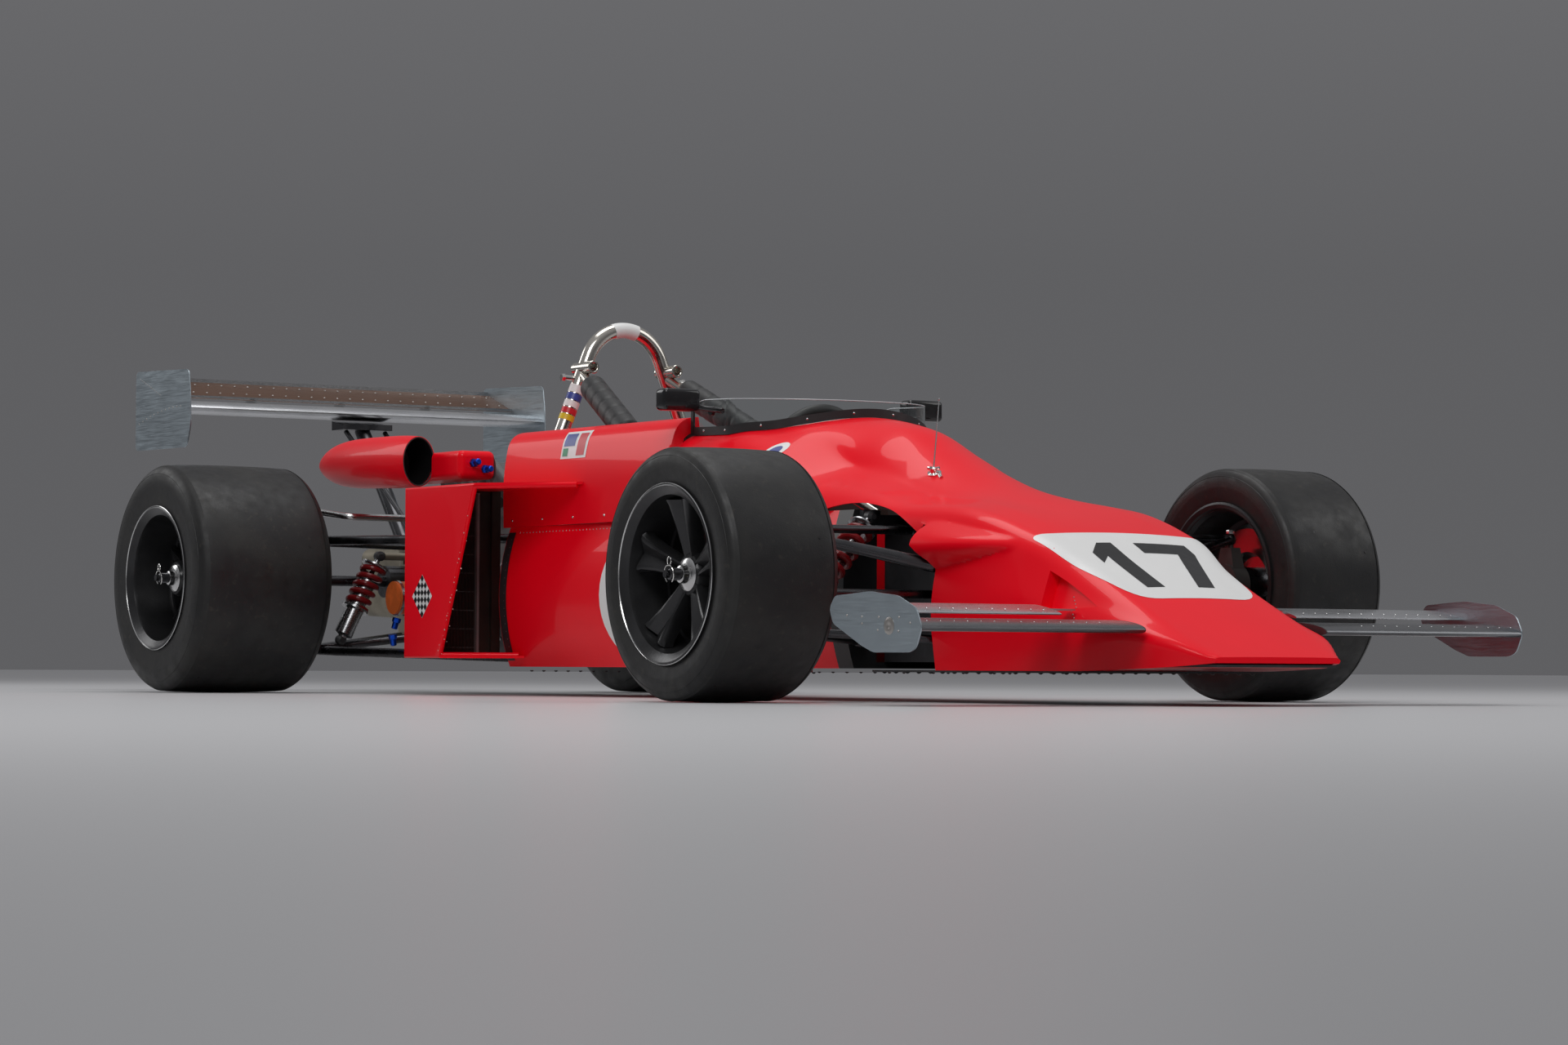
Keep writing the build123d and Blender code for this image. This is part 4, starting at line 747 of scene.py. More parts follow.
def wheels():
    for end, tag, hub, out, body in wheel_frames():
        half, well, spoke_hub, spoke_rim, face, upright = WHEEL_PLACES[end]
        rim = Shape().turned(hub, out, [
            (-half, RIM_R - 0.005), (-half + 0.002, RIM_R), (-half + 0.007, RIM_R), (-half + 0.009, RIM_SEAT),
            (half - 0.009, RIM_SEAT), (half - 0.007, RIM_R), (half - 0.002, RIM_R), (half, RIM_R - 0.004),
            (half - 0.002, RIM_R - 0.009), (half - 0.012, RIM_INNER + 0.002), (half - 0.020, RIM_INNER),
            (well + 0.060, RIM_INNER - 0.001), (well + 0.052, RIM_INNER - 0.004),
            (well + 0.050, RIM_INNER - 0.011), (well + 0.004, RIM_INNER - 0.013), (well, RIM_INNER - 0.020),
            (well - 0.010, RIM_INNER - 0.020), (well - 0.016, RIM_INNER - 0.010), (well - 0.040, RIM_INNER),
            (-half + 0.020, RIM_INNER), (-half + 0.004, RIM_INNER + 0.010), (-half, RIM_R - 0.005),
        ], 128)
        for index in range(5):
            spoke(rim, hub, out, around(radians(90 + 72 * index)), spoke_hub, spoke_rim)
        rim.turned(hub, out, [
            (spoke_hub - 0.050, 0.020), (spoke_hub - 0.050, 0.052), (spoke_hub - 0.010, 0.050),
            (face - 0.010, HUB_R + 0.002), (face, HUB_R - 0.003), (face, 0.030), (face - 0.004, 0.0),
        ], 64)
        made = rim.make(f"rim_{tag}", "wheel", body, 30)
        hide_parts(f"wheel_{tag}")
        hub_and_disc(tag, hub, out, body, face, upright)
        hub_nut(tag, hub + out * face, out, body)
        rim_trim(tag, hub, out, body, half, well)


def spoke(shape, hub, out, radial, u_hub, u_rim):
    """Deep at the hub, broad at the rim, with a ridge down each edge of its outer face."""
    across = out.cross(radial)
    start, reach = HUB_R - 0.010, RIM_INNER - 0.008
    outline = SPOKE_RIDGE + ((0.0, 0.02),) + tuple((-w, d) for w, d in SPOKE_RIDGE[::-1])
    rings = []
    for share, width, depth in SPOKE:
        centre = hub + radial * (start + (reach - start) * share) + out * (u_hub + (u_rim - u_hub) * share)
        rings.append([centre + across * (w * width) + out * (d * depth) for w, d in outline])
    shape.loft(rings)


def hub_and_disc(tag, hub, out, body, face, upright):
    Shape().turned(hub, out, [
        (upright - 0.026, 0), (upright - 0.026, 0.022), (upright + 0.029, 0.022),
        (upright + 0.029, HUB_R - 0.004), (face - 0.03, HUB_R - 0.004), (face - 0.03, 0),
    ], 48).make(f"hub_{tag}", "dark_steel", body)
    centre = hub + out * (upright + 0.053)
    bell = HUB_R - 0.006
    disc = Shape().turned(centre, out, [
        (-0.006, 0.074), (-0.006, DISC_R), (0.006, DISC_R), (0.006, 0.080), (0.026, 0.070), (0.026, bell),
        (0.020, bell), (0.020, 0.064), (-0.006, 0.074),
    ], 96)
    for index in range(10):
        disc.dome(centre + out * 0.006 + around(2 * pi * index / 10) * 0.084, out, 0.005)
    disc.make(f"disc_{tag}", "steel", body)


def hub_nut(tag, face, out, body):
    """The wheel nut, the threaded stub and its safety clip."""
    Shape().turned(face, out, [
        (-0.004, 0.0), (-0.004, 0.035), (0.004, 0.035), (0.0075, 0.031), (0.009, 0.019), (0.021, 0.0175),
        (0.0225, 0.015), (0.0225, 0.0),
    ], 48).make(f"wheel_nut_{tag}", "steel", body)
    thread = [(0.020, 0.0), (0.020, 0.0125)]
    for turn in range(9):
        start = 0.024 + turn * 0.0021
        thread += [(start, 0.0125), (start + 0.00105, 0.0112)]
    thread += [(0.045, 0.0115), (0.047, 0.008), (0.056, 0.008), (0.056, 0.0)]
    Shape().turned(face, out, thread, 32).make(f"stub_thread_{tag}", "dark_steel", body)
    centre = face + out * 0.046
    bow, eye = (pi * k / 12 for k in range(-10, 11)), (2 * pi * k / 16 for k in range(17))
    bow = [centre + Vector((0, 0.018 * sin(a), 0.018 * cos(a))) + out * 0.002 * cos(a) for a in bow]
    eye = [centre + Vector((0, 0.007 * sin(a), 0.026 + 0.009 * cos(a))) for a in eye]
    Shape().tube(bow, 0.0014, 8).tube(eye, 0.0013, 8).make(f"safety_clip_{tag}", "chrome", body)


def rim_trim(tag, hub, out, body, half, well):
    """The polished bead, the valve with its cap, and the balance weights."""
    Shape().turned(hub + out * half, out, [
        (-0.003, RIM_R - 0.001), (0.0002, RIM_R + 0.0008), (-0.001, RIM_R + 0.0022), (-0.003, RIM_R - 0.001),
    ], 128).make(f"bead_line_{tag}", "steel", body)
    radial = around(radians(200))
    root = hub + radial * (RIM_INNER - 0.012) + out * (well + 0.050)
    tip = root + out * 0.022 - radial * 0.010
    bend = root + out * 0.012 - radial * 0.004
    Shape().tube([root, bend, tip], 0.0042, 10).make(f"valve_{tag}", "steel", body)
    cap = [(0, 0), (0, 0.0052), (0.007, 0.0052), (0.009, 0.004), (0.009, 0)]
    Shape().turned(tip, out * 0.8 - radial * 0.5, cap, 12).make(f"valve_cap_{tag}", "yellow", body)
    weights = Shape()
    for k in range(4):
        a = radians(110 + 2.4 * k)
        place = hub + around(a) * (RIM_INNER - 0.0016) + out * (half - 0.030)
        weights.slab(place, (0.016, 0.005, 0.003), Matrix.Rotation(a - pi / 2, 3, "X"))
    weights.make(f"balance_weights_{tag}", "steel", body)


# ------------------------------------------------------------------ markings and rivets
def tree_of(obj):
    verts = [obj.matrix_world @ v.co for v in obj.data.vertices]
    return BVHTree.FromPolygons(verts, [tuple(p.vertices) for p in obj.data.polygons])


def land(tree, u, v, aim):
    """A surface's place and normal, under (x, station) for aim 0 or beside (station, z) on side aim."""
    start, way = (at(u, v, 1.3), -Z) if aim == 0 else (at(aim * 1.3, u, v), X * -aim)
    place, normal, _, _ = tree.ray_cast(start, way)
    if place is None:
        place, normal, _, _ = tree.find_nearest(at(u, v, 0.5) if aim == 0 else at(aim * 0.32, u, v))
    return place, -normal if normal.dot(way) > 0 else normal


def decal(name, look, outline, tree, aim, lift=0.0006, cell=0.012):
    """A thin marking: a flat outline cut into cells, each corner laid on the surface."""
    bm = bmesh.new()
    bm.faces.new([bm.verts.new((u, v, 0)) for u, v in outline])
    for axis, normal in ((0, X), (1, Y)):
        values = [p[axis] for p in outline]
        line = min(values) + cell
        while line < max(values) - 1e-4:
            geometry = bm.verts[:] + bm.edges[:] + bm.faces[:]
            bmesh.ops.bisect_plane(bm, geom=geometry, plane_co=normal * line, plane_no=normal)
            line += cell
    bm.verts.index_update()
    landed = [land(tree, v.co.x, v.co.y, aim) for v in bm.verts]
    faces = [tuple(v.index for v in f.verts) for f in bm.faces]
    bm.free()
    Shape().add([place + normal * lift for place, normal in landed], faces).make(name, look)


def round_outline(points, radii, steps=6):
    """A closed outline with rounded corners, by one radius for each corner."""
    out, count = [], len(points)
    for k in range(count):
        out += rounded([points[k - 1], points[k], points[(k + 1) % count]], [radii[k]], steps)[1:-1]
    return [tuple(p) for p in out]


def circle(centre, radius, count=40):
    turns = (2 * pi * k / count for k in range(count))
    return [(centre[0] + radius * cos(a), centre[1] + radius * sin(a)) for a in turns]


# straight-sided digits in a unit box: across, up
DIGITS = {
    "1": ((0.30, 0.0), (0.62, 0.0), (0.62, 1.0), (0.36, 1.0), (0.10, 0.80), (0.10, 0.58), (0.30, 0.72)),
    "7": ((0.22, 0.0), (0.52, 0.0), (0.98, 0.80), (0.98, 1.0), (0.02, 1.0), (0.02, 0.78), (0.64, 0.78)),
}
DIGIT_W, DIGIT_H, DIGIT_FRONT = 0.138, 0.180, -0.622
PANEL = ((-0.219, -0.394), (0.219, -0.394), (0.151, -0.668), (-0.151, -0.668))
PANEL_ROUND = (0.014, 0.014, 0.055, 0.055)
ROUNDEL = ((0.985, 0.238), 0.158)
STICKER = (0.508, 0.548)
# a plain block of colours beside the cockpit: stations from and to, z from and to, lift
BLOCKS = (
    ("edge", "white", 1.252, 1.372, 0.565, 0.630, 0.0006),
    ("blue", "flag_blue", 1.312, 1.364, 0.595, 0.624, 0.0011),
    ("red", "flag_red", 1.262, 1.300, 0.571, 0.624, 0.0011),
    ("green", "flag_green", 1.340, 1.364, 0.571, 0.590, 0.0011),
)
STRIP = ((1.574, 0.085), (1.607, 0.085), (1.607, 0.395), (1.574, 0.395))


def markings(shell_tree, tub_tree):
    decal("number_panel", "white", round_outline(PANEL, PANEL_ROUND), shell_tree, 0)
    for digit, left in (("1", -0.140), ("7", 0.000)):
        outline = [(left + DIGIT_W * u, DIGIT_FRONT + DIGIT_H * v) for u, v in DIGITS[digit]]
        decal(f"number_{digit}", "black", outline, shell_tree, 0, 0.0012)
    for side, sign in SIDES:
        decal(f"side_roundel_{side}", "white", circle(*ROUNDEL), tub_tree, sign)
        for name, look, s0, s1, z0, z1, lift in BLOCKS:
            corners = [(s0, z0), (s1, z0), (s1, z1), (s0, z1)]
            decal(f"colour_block_{name}_{side}", look, corners, shell_tree, sign, lift)
        decal(f"round_sticker_{side}", "white", circle(STICKER, 0.021, 24), shell_tree, sign)
        decal(f"round_sticker_dot_{side}", "flag_blue", circle(STICKER, 0.012, 20), shell_tree, sign, 0.0011)
        decal(f"tub_rear_strip_{side}", "satin_black", STRIP, tub_tree, sign, 0.0012)


def rivets(shell_tree, tub_tree):
    """Rows of heads: the surface, the head's radius and facets, and each head's station and z."""
    rows = (
        (tub_tree, 0.0021, 6, [(0.330 + k * 0.0155, 0.394) for k in range(80)]),
        (tub_tree, 0.0026, 6, [(1.585, 0.10 + k * 0.0185) for k in range(16)]),
        (shell_tree, 0.0035, 8, [(-0.560, 0.148), (-0.440, 0.148)]),
        (shell_tree, 0.0018, 6, [(-0.530 - k * 0.006, 0.214 - k * 0.007) for k in range(7)]),
    )
    heads, screws = Shape(), Shape()
    for sign in SIGNS:
        for tree, radius, facets, spots in rows:
            for station, z in spots:
                heads.dome(*land(tree, station, z, sign), radius, facets)
        for k in range(9):
            screws.dome(*land(shell_tree, 0.40 + k * 0.15, 0.425, sign), 0.0034)
    heads.make("tub_rivets", "rivet", "body", 60)
    screws.make("body_screws", "steel", "body", 60)


def underside():
    """The lip under the nose's tip and the flat tray with its bolts behind it."""
    plan = [(-0.150, -0.902), (0.150, -0.902), (0.206, -0.780), (-0.206, -0.780)]
    tray = Shape().extruded(plan, 0.076, 0.081, True).slab(at(0, -0.210, 0.0650), (0.46, 0.74, 0.004))
    for sign in SIGNS:
        for k in range(17):
            tray.dome(at(sign * 0.220, -0.560 + k * 0.043, 0.063), -Z, 0.0055)
        for k in range(22):
            tray.dome(at(sign * 0.262, 0.340 + k * 0.060, 0.0605), -Z, 0.0045)
    tray.make("underside_tray", "satin_black")


# ------------------------------------------------------------------ roll hoop
HOOP_STATION, HOOP_TUBE_R, HOOP_BEND_R = 1.612, 0.019, 0.110
HOOP_LEAN = radians(21.5)
TAPE = 0.0003                                                # the white tape's thickness
HOOP_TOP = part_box("roll_hoop")[1].z - TAPE
HOOP_FOOT_Z = JOINT_Z + 0.004
BEND_TOP_Z = HOOP_TOP - HOOP_TUBE_R - HOOP_BEND_R * (1 - sin(HOOP_LEAN))      # where the legs' bend starts
BOSS_Z = 0.792
BRACE_R = 0.013
BRACE_FOOT = (0.262, 0.866, 0.434)
PAD_FROM, PAD_TO, PAD_R, PAD_RINGS = 0.10, 0.46, 0.0325, 72
# colour, z and length of the bands round the right leg
LEG_BANDS = (
    ("white", 0.742, 0.020), ("flag_blue", 0.724, 0.017), ("white", 0.707, 0.016), ("flag_red", 0.690, 0.015),
    ("yellow", 0.674, 0.015),
)


def on_leg(sign, z):
    x = HOOP_BEND_R * cos(HOOP_LEAN) + tan(HOOP_LEAN) * (BEND_TOP_Z - z)
    return at(sign * x, HOOP_STATION, z)


def hoop_leg(sign):
    return on_leg(sign, HOOP_FOOT_Z), on_leg(sign, BEND_TOP_Z)


def brace(sign):
    return on_leg(sign, BOSS_Z), at(sign * BRACE_FOOT[0], *BRACE_FOOT[1:])


def hoop_path(turn=1.0, count=40):
    centre = at(0, HOOP_STATION, HOOP_TOP - HOOP_TUBE_R - HOOP_BEND_R)
    reach = (pi / 2 - HOOP_LEAN) * turn
    turns = (reach * (2 * k / count - 1) for k in range(count + 1))
    return [centre + Vector((sin(a), 0, cos(a))) * HOOP_BEND_R for a in turns]


def roll_hoop():
    feet = hoop_leg(1)[0], hoop_leg(-1)[0]
    hoop = Shape().tube([feet[1]] + hoop_path() + [feet[0]], HOOP_TUBE_R, 32)
    for sign in SIGNS:
        top, foot = brace(sign)
        mouth = top + Vector((0, -0.058, 0.014))
        hoop.tube([top, foot], BRACE_R, 24).turned(mouth, Y, [
            (0.034, 0.0), (0.034, 0.010), (0.001, 0.010), (0.0, 0.0112), (0.0, 0.0148),
            (0.0012, 0.016), (0.086, 0.016), (0.088, 0.014), (0.088, 0.0),
        ], 32).nut(mouth + Y * 0.088, Y, 0.009, 0.007)
        hoop.slab(at(sign * feet[0].x, 1.572, HOOP_FOOT_Z), (0.062, 0.074, 0.008))
        for lift, size in ((0, (0.050, 0.060, 0.008)), (0.016, (0.030, 0.030, 0.030))):
            hoop.slab(at(sign * BRACE_FOOT[0], BRACE_FOOT[1], HOOP_FOOT_Z + lift), size)
    made = hoop.make("roll_hoop_tube", "nickel")
    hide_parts("roll_hoop")
    Shape().tube(hoop_path(0.26), HOOP_TUBE_R + TAPE, 32).make("hoop_band", "white")
    up_leg = hoop_leg(-1)[1] - hoop_leg(-1)[0]
    for index, (look, z, length) in enumerate(LEG_BANDS):
        sleeve = [(a, HOOP_TUBE_R + r) for a, r in ((0, 0), (0, 0.0005), (length, 0.0005), (length, 0))]
        Shape().turned(on_leg(-1, z), up_leg, sleeve, 32).make(f"leg_band_{index}", look)
    bolts = Shape()
    for sign in SIGNS:
        start = on_leg(sign, BOSS_Z - 0.012)
        shank = [start + Vector((sign * 0.016, 0, 0)), start + Vector((sign * 0.046, 0.004, 0.002))]
        bolts.tube(shank, 0.007, 16)
        bolts.nut(start + Vector((sign * 0.044, 0.004, 0.002)), X * sign, 0.010, 0.008)
    bolts.make("hoop_bolts", "chrome")


def brace_pads():
    """Quilted sleeves with six stitched seams."""
    for side, sign in SIDES:
        top, foot = brace(sign)
        points, radii = [], []
        for k in range(PAD_RINGS + 1):
            share = k / PAD_RINGS
            points.append(top.lerp(foot, PAD_FROM + (PAD_TO - PAD_FROM) * share))
            seam = abs(cos(pi * 6 * share)) ** 14
            radii.append(PAD_R - 0.0022 * seam - (0.009 if k in (0, PAD_RINGS) else 0.0))
        made = Shape().tube(points, radii, 28).make(f"brace_pad_{side}", "quilt", "body", 60)
        if sign > 0:
            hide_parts("brace_pads")


# ------------------------------------------------------------------ screen, mirrors, mast
SCREEN_GAP, SCREEN_REAR, SCREEN_T = 0.022, 0.850, 0.0035
SCREEN_TOP = ((0.500, 0.668), (0.850, 0.680))                # station and z
SCREEN_X = OPENING_HALF + SCREEN_GAP
TRIM_H = 0.020


def screen_plan(grow):
    """Plan line of the screen from the left rear end round the front to the right rear end."""
    arc, half, front = opening_points(grow)
    side = [(half, SCREEN_REAR - (SCREEN_REAR - front) * k / 10) for k in range(10)]
    return side + arc[::-1] + [(-x, station) for x, station in side[::-1]]


def screen_top(station):
    (s0, z0), (s1, z1) = SCREEN_TOP
    return z0 + (z1 - z0) * (station - s0) / (s1 - s0)


def wall_between(outer, inner, low, high):
    """A closed curved wall; low and high give z for a plan point's index."""
    rings = []
    for k, (a, b) in enumerate(zip(outer, inner)):
        rings.append([at(*a, low(k)), at(*a, high(k)), at(*b, high(k)), at(*b, low(k))])
    return Shape().loft(rings)


def windscreen(shell_tree):
    outer, inner = screen_plan(SCREEN_GAP), screen_plan(SCREEN_GAP - SCREEN_T)
    skirt, crest = screen_plan(SCREEN_GAP + 0.003), screen_plan(SCREEN_GAP - SCREEN_T / 2)
    base = [land(shell_tree, x, station, 0)[0].z for x, station in outer]

    def top(k):
        station = outer[k][1]
        return screen_top(station) - 0.012 * (1 - min(1.0, (SCREEN_REAR - station) / 0.05)) ** 2

    pane = wall_between(outer, inner, lambda k: base[k] + 0.0008, top)
    made = pane.make("windscreen_perspex", "clear", "body", 30)
    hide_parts("windscreen")
    # A light grey tube along the pane's top edge: a painted highlight of the perspex edge.
    line = [at(*point, top(k) + 0.0002) for k, point in enumerate(crest)]
    Shape().tube(line, 0.0013, 8).make("windscreen_top_highlight", "screen_highlight")
    trim = wall_between(skirt, outer, lambda k: base[k] + 0.0004, lambda k: base[k] + TRIM_H)
    station = SCREEN_REAR + 0.004
    high = screen_top(station)
    for sign in SIGNS:
        place = at(sign * (SCREEN_X + 0.001), station, (base[0] + high) / 2 - 0.004)
        trim.slab(place, (0.006, 0.010, high - base[0] - 0.012))
    made = trim.make("windscreen_seal", "trim", "body", 30)
    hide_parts("windscreen_trim")
    screws = Shape()
    for k in range(3, len(outer) - 3, 6):
        x, station = skirt[k]
        ahead = Vector(skirt[k + 1]) - Vector(skirt[k - 1])
        out = Vector((-ahead.y, ahead.x, 0)).normalized()
        if out.dot(Vector((x, station - OPENING_CENTRE, 0))) < 0:
            out = -out
        screws.dome(at(x, station, base[k] + TRIM_H * 0.55), out, 0.0032)
    screws.make("screen_screws", "steel", "body", 60)


def mirrors():
    bodies, glass = Shape(), Shape()
    for sign in SIGNS:
        centre = at(sign * 0.334, 0.797, 0.675)
        foot = SCREEN_X + 0.004
        bodies.rounded_box(centre, (0.096, 0.046, 0.050), 0.010)
        bodies.tube(smooth_line([
            centre + Vector((-sign * 0.036, 0.004, -0.010)), at(sign * 0.285, 0.775, 0.658),
            at(sign * (foot + 0.007), 0.740, 0.652), at(sign * (foot + 0.006), 0.712, 0.648),
        ], 6), 0.0062, 14)
        washer = [(0, 0), (0, 0.011), (0.008, 0.010), (0.009, 0)]
        bodies.turned(at(sign * foot, 0.762, 0.651), X * sign, washer, 20)
        glass.rounded_box(centre + Y * 0.0232, (0.084, 0.0024, 0.040), 0.0008, 2)
    made = bodies.make("mirror_bodies", "gloss_black")
    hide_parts("mirrors")
    glass.make("mirror_glass", "chrome")


def mast(shell_tree):
    place, normal = land(shell_tree, -0.100, 0.121, 0)
    profile = [(0, 0), (0, 0.014), (0.006, 0.013), (0.008, 0.007), (0.018, 0.006), (0.020, 0)]
    base = Shape().turned(place - normal * 0.004, normal, profile, 24)
    for angle in (pi / 2 * k + 0.5 for k in range(4)):
        way = Vector((cos(angle), sin(angle), 0))
        base.tube([place + Z * 0.010, place + Z * 0.012 + way * 0.014], 0.0032, 10)
    cable = ((0.004, -0.016, 0.004), (0.002, -0.022, -0.006), (0.0, -0.030, -0.010))
    base.tube([place + Vector(off) for off in cable], 0.004, 10).make("mast_base", "chrome")
    tip = at(-0.100, 0.101, 0.648)
    whip = Shape().tube([place + Z * 0.008, place.lerp(tip, 0.5), tip], [0.0016, 0.0014, 0.0011], 8)
    whip.turned(tip - Z * 0.003, Z, [(0, 0), (0.001, 0.0026), (0.004, 0.0028), (0.006, 0)], 12)
    made = whip.make("mast_whip", "steel")
    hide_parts("mast")


# ------------------------------------------------------------------ wings
# leading edge station and z, nose radius, chord, rise of the trailing edge
FRONT_MAIN = (-0.783, 0.147, 0.016, 0.165, 0.018)
FRONT_FLAP = (-0.606, 0.178, 0.005, 0.088, 0.020)
REAR_MAIN = (WHEELBASE + 0.508, 0.768, 0.028, 0.240, 0.014)
REAR_FLAP = (WHEELBASE + 0.690, 0.806, 0.006, 0.150, 0.056)
PLATE_T = 0.003
FRONT_FACE, REAR_FACE = (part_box(f"{end}_endplates")[1].x for end in ("front", "rear"))
FRONT_TIP, REAR_TIP = FRONT_FACE - PLATE_T, REAR_FACE - PLATE_T
# outlines of the endplates, as stations and z; the rear one's stations count from the rear axle
FRONT_PLATE = (
    (-0.490, 0.210), (-0.609, 0.217), (-0.705, 0.208), (-0.766, 0.184), (-0.784, 0.148), (-0.766, 0.109),
    (-0.745, 0.101), (-0.623, 0.101), (-0.583, 0.114), (-0.484, 0.157), (-0.472, 0.186),
)
REAR_PLATE = (
    (0.8649, 0.884), (0.510, 0.872), (0.498, 0.800), (0.494, 0.720), (0.520, 0.660), (0.8649, 0.664),
)
FRONT_STUDS = (
    (-0.533, 0.172), (-0.585, 0.169), (-0.585, 0.156), (-0.642, 0.168), (-0.639, 0.143), (-0.710, 0.167),
    (-0.708, 0.141), (-0.747, 0.156),
)
ADJUSTER = (
    (-0.001, 0), (-0.001, 0.017), (0.0004, 0.017), (0.0016, 0.013), (0.0018, 0.006), (0.0006, 0.003),
    (0.0006, 0),
)


def foil(section, thick=1.0):
    """A plane's outline, as stations and z."""
    station, z, nose, chord, rise = section
    upper, lower = [], []
    for t in ((k / 12) ** 1.6 for k in range(13)):
        bulge = 0.86 * (nose * thick * (1.9 * sqrt(t) - 0.62 * t - 1.28 * t * t) + 0.0006)
        upper.append((station + chord * t, z + rise * t + bulge))
        lower.append((station + chord * t, z + rise * t - bulge))
    return upper + lower[:0:-1]


def front_wings():
    planes, flaps, caps, screws = Shape(), Shape(), Shape(), Shape()
    for sign in SIGNS:
        planes.extruded(foil(FRONT_MAIN), sign * 0.229, sign * FRONT_TIP)
        caps.extruded(foil(FRONT_MAIN, 1.02), sign * 0.227, sign * 0.2295)
        flaps.extruded(foil(FRONT_FLAP), sign * 0.298, sign * FRONT_TIP)
        flaps.slab(at(sign * 0.272, -0.562, 0.188), (0.060, 0.026, 0.004))
        for x in (sign * (0.330 + k * 0.031) for k in range(14)):
            screws.dome(at(x, -0.590, 0.1875), Vector((0, -0.2, 1)).normalized(), 0.0022, 6)
            screws.dome(at(x, -0.770, 0.1605), Vector((0, -0.5, 0.85)).normalized(), 0.0018, 6)
    made = planes.make("front_main_planes", "wing_dark", "body", 40)
    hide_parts("front_wings")
    flaps.make("front_flaps", "wing", "body", 40)
    caps.make("front_plane_caps", "satin_black")
    screws.make("front_wing_screws", "steel", "body", 60)


def endplates():
    plates, studs = Shape(), Shape()
    rear_plate = [(WHEELBASE + station, z) for station, z in REAR_PLATE]
    for sign in SIGNS:
        out = X * sign
        for tip, face, outline, radius in (
            (FRONT_TIP, FRONT_FACE, FRONT_PLATE, 0.010), (REAR_TIP, REAR_FACE, rear_plate, 0.018),
        ):
            plates.extruded(round_outline(outline, [radius] * len(outline), 5), sign * tip, sign * face)
        for station, z in FRONT_STUDS:
            studs.dome(at(sign * FRONT_FACE, station, z), out, 0.0026)
        studs.turned(at(sign * FRONT_FACE, -0.677, 0.151), out, ADJUSTER, 28)
        for k in range(12):
            main = at(sign * REAR_FACE, WHEELBASE + 0.560 + k * 0.0255, 0.774 - 0.0003 * k * k)
            studs.dome(main, out, 0.0026)
            studs.dome(at(sign * REAR_FACE, WHEELBASE + 0.700 + k * 0.012, 0.812 + 0.0045 * k), out, 0.0022)
    made = plates.make("wing_endplates", "plate", "body", 30)
    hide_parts("front_endplates", "rear_endplates")
    studs.make("endplate_rivets", "rivet", "body", 60)


def rear_wing():
    made = Shape().extruded(foil(REAR_MAIN), -REAR_TIP, REAR_TIP).make("rear_main_plane", "wing", "body", 40)
    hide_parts("rear_wing")
    Shape().extruded(foil(REAR_FLAP, 0.8), -REAR_TIP, REAR_TIP).make("rear_flap", "bronze", "body", 40)
    station, z, _, chord, rise = REAR_FLAP
    lip = Shape().slab(at(0, station + chord - 0.001, z + rise + 0.003), (2 * REAR_TIP, 0.003, 0.014))
    lip.slab(at(0, station + 0.004, z + 0.004), (2 * REAR_TIP, 0.006, 0.010))
    for share in (-0.5, 0.0, 0.5):
        lip.slab(at(share * REAR_TIP, station + 0.015, 0.792), (0.005, 0.060, 0.040))
    lip.make("rear_gurney", "steel")
    heads, edge, count = Shape(), 0.026, 27
    for k in range(count):
        x = (REAR_TIP - edge) * (2 * k / (count - 1) - 1)
        for along, lift in ((0.030, 0.0195), (0.110, 0.046)):
            heads.dome(at(x, station + along, z + lift), Vector((0, -0.4, 0.9)).normalized(), 0.0028)
    heads.make("rear_flap_rivets", "rivet", "body", 60)


# ------------------------------------------------------------------ pods and radiators
POD_HALF, POD_REAR, POD_TOP, POD_BOTTOM = 0.500, 1.820, 0.507, 0.090
POD_CORNER_R = 0.0055
RADIATOR_INNER = 0.352
CHEQUER, CHEQUER_HALF, CHEQUER_CELLS = (1.722, 0.240), 0.052, 6


def pod_bodies():
    """The pods again with their long outer corners rolled."""
    bm = bmesh.new()
    bm.from_mesh(NODES["radiator_pods"].data)
    bmesh.ops.remove_doubles(bm, verts=bm.verts, dist=1e-5)
    bmesh.ops.dissolve_limit(bm, angle_limit=radians(0.5), verts=bm.verts, edges=bm.edges)
    corners = []
    for edge in bm.edges:
        a, b = (v.co for v in edge.verts)
        level = abs(a.z - b.z) < 1e-4 and (a.z > POD_TOP - 1e-3 or a.z < POD_BOTTOM + 1e-3)
        upright = min(a.y, b.y) > FRONT_AXLE + POD_REAR - 1e-3
        if min(abs(a.x), abs(b.x)) > POD_HALF - 5e-4 and edge.calc_length() > 0.05 and (level or upright):
            corners.append(edge)
    how = {"segments": 5, "profile": 0.5, "affect": "EDGES", "clamp_overlap": True}
    bmesh.ops.bevel(bm, geom=corners, offset=POD_CORNER_R, **how)
    mesh = bpy.data.meshes.new("pod_shells")
    bm.to_mesh(mesh)
    bm.free()
    made = object_of("pod_shells", mesh)
    dress(made, "paint", 30)
    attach(made, "body")
    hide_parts("radiator_pods")


def radiator_trim():
    fins, tanks = Shape(), Shape()
    low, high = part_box("radiators")
    centre, height = (low.z + high.z) / 2, high.z - low.z
    face, width = low.y - FRONT_AXLE, high.x - RADIATOR_INNER
    for sign in SIGNS:
        for k in range(44):
            x = sign * (RADIATOR_INNER + (width - 0.012) * k / 43)
            fins.slab(at(x, face - 0.0015, centre), (0.0011, 0.005, height - 0.016))
        for k in range(9):
            z = low.z + 0.02 + (height - 0.04) * k / 8
            bar = at(sign * (RADIATOR_INNER + width / 2), face - 0.0006, z)
            tanks.slab(bar, (width - 0.004, 0.002, 0.0025))
        tanks.slab(at(sign * (RADIATOR_INNER - 0.002), face + 0.010, centre), (0.012, 0.026, height - 0.01))
    fins.make("radiator_fins", "fins")
    tanks.make("radiator_tanks", "cast")


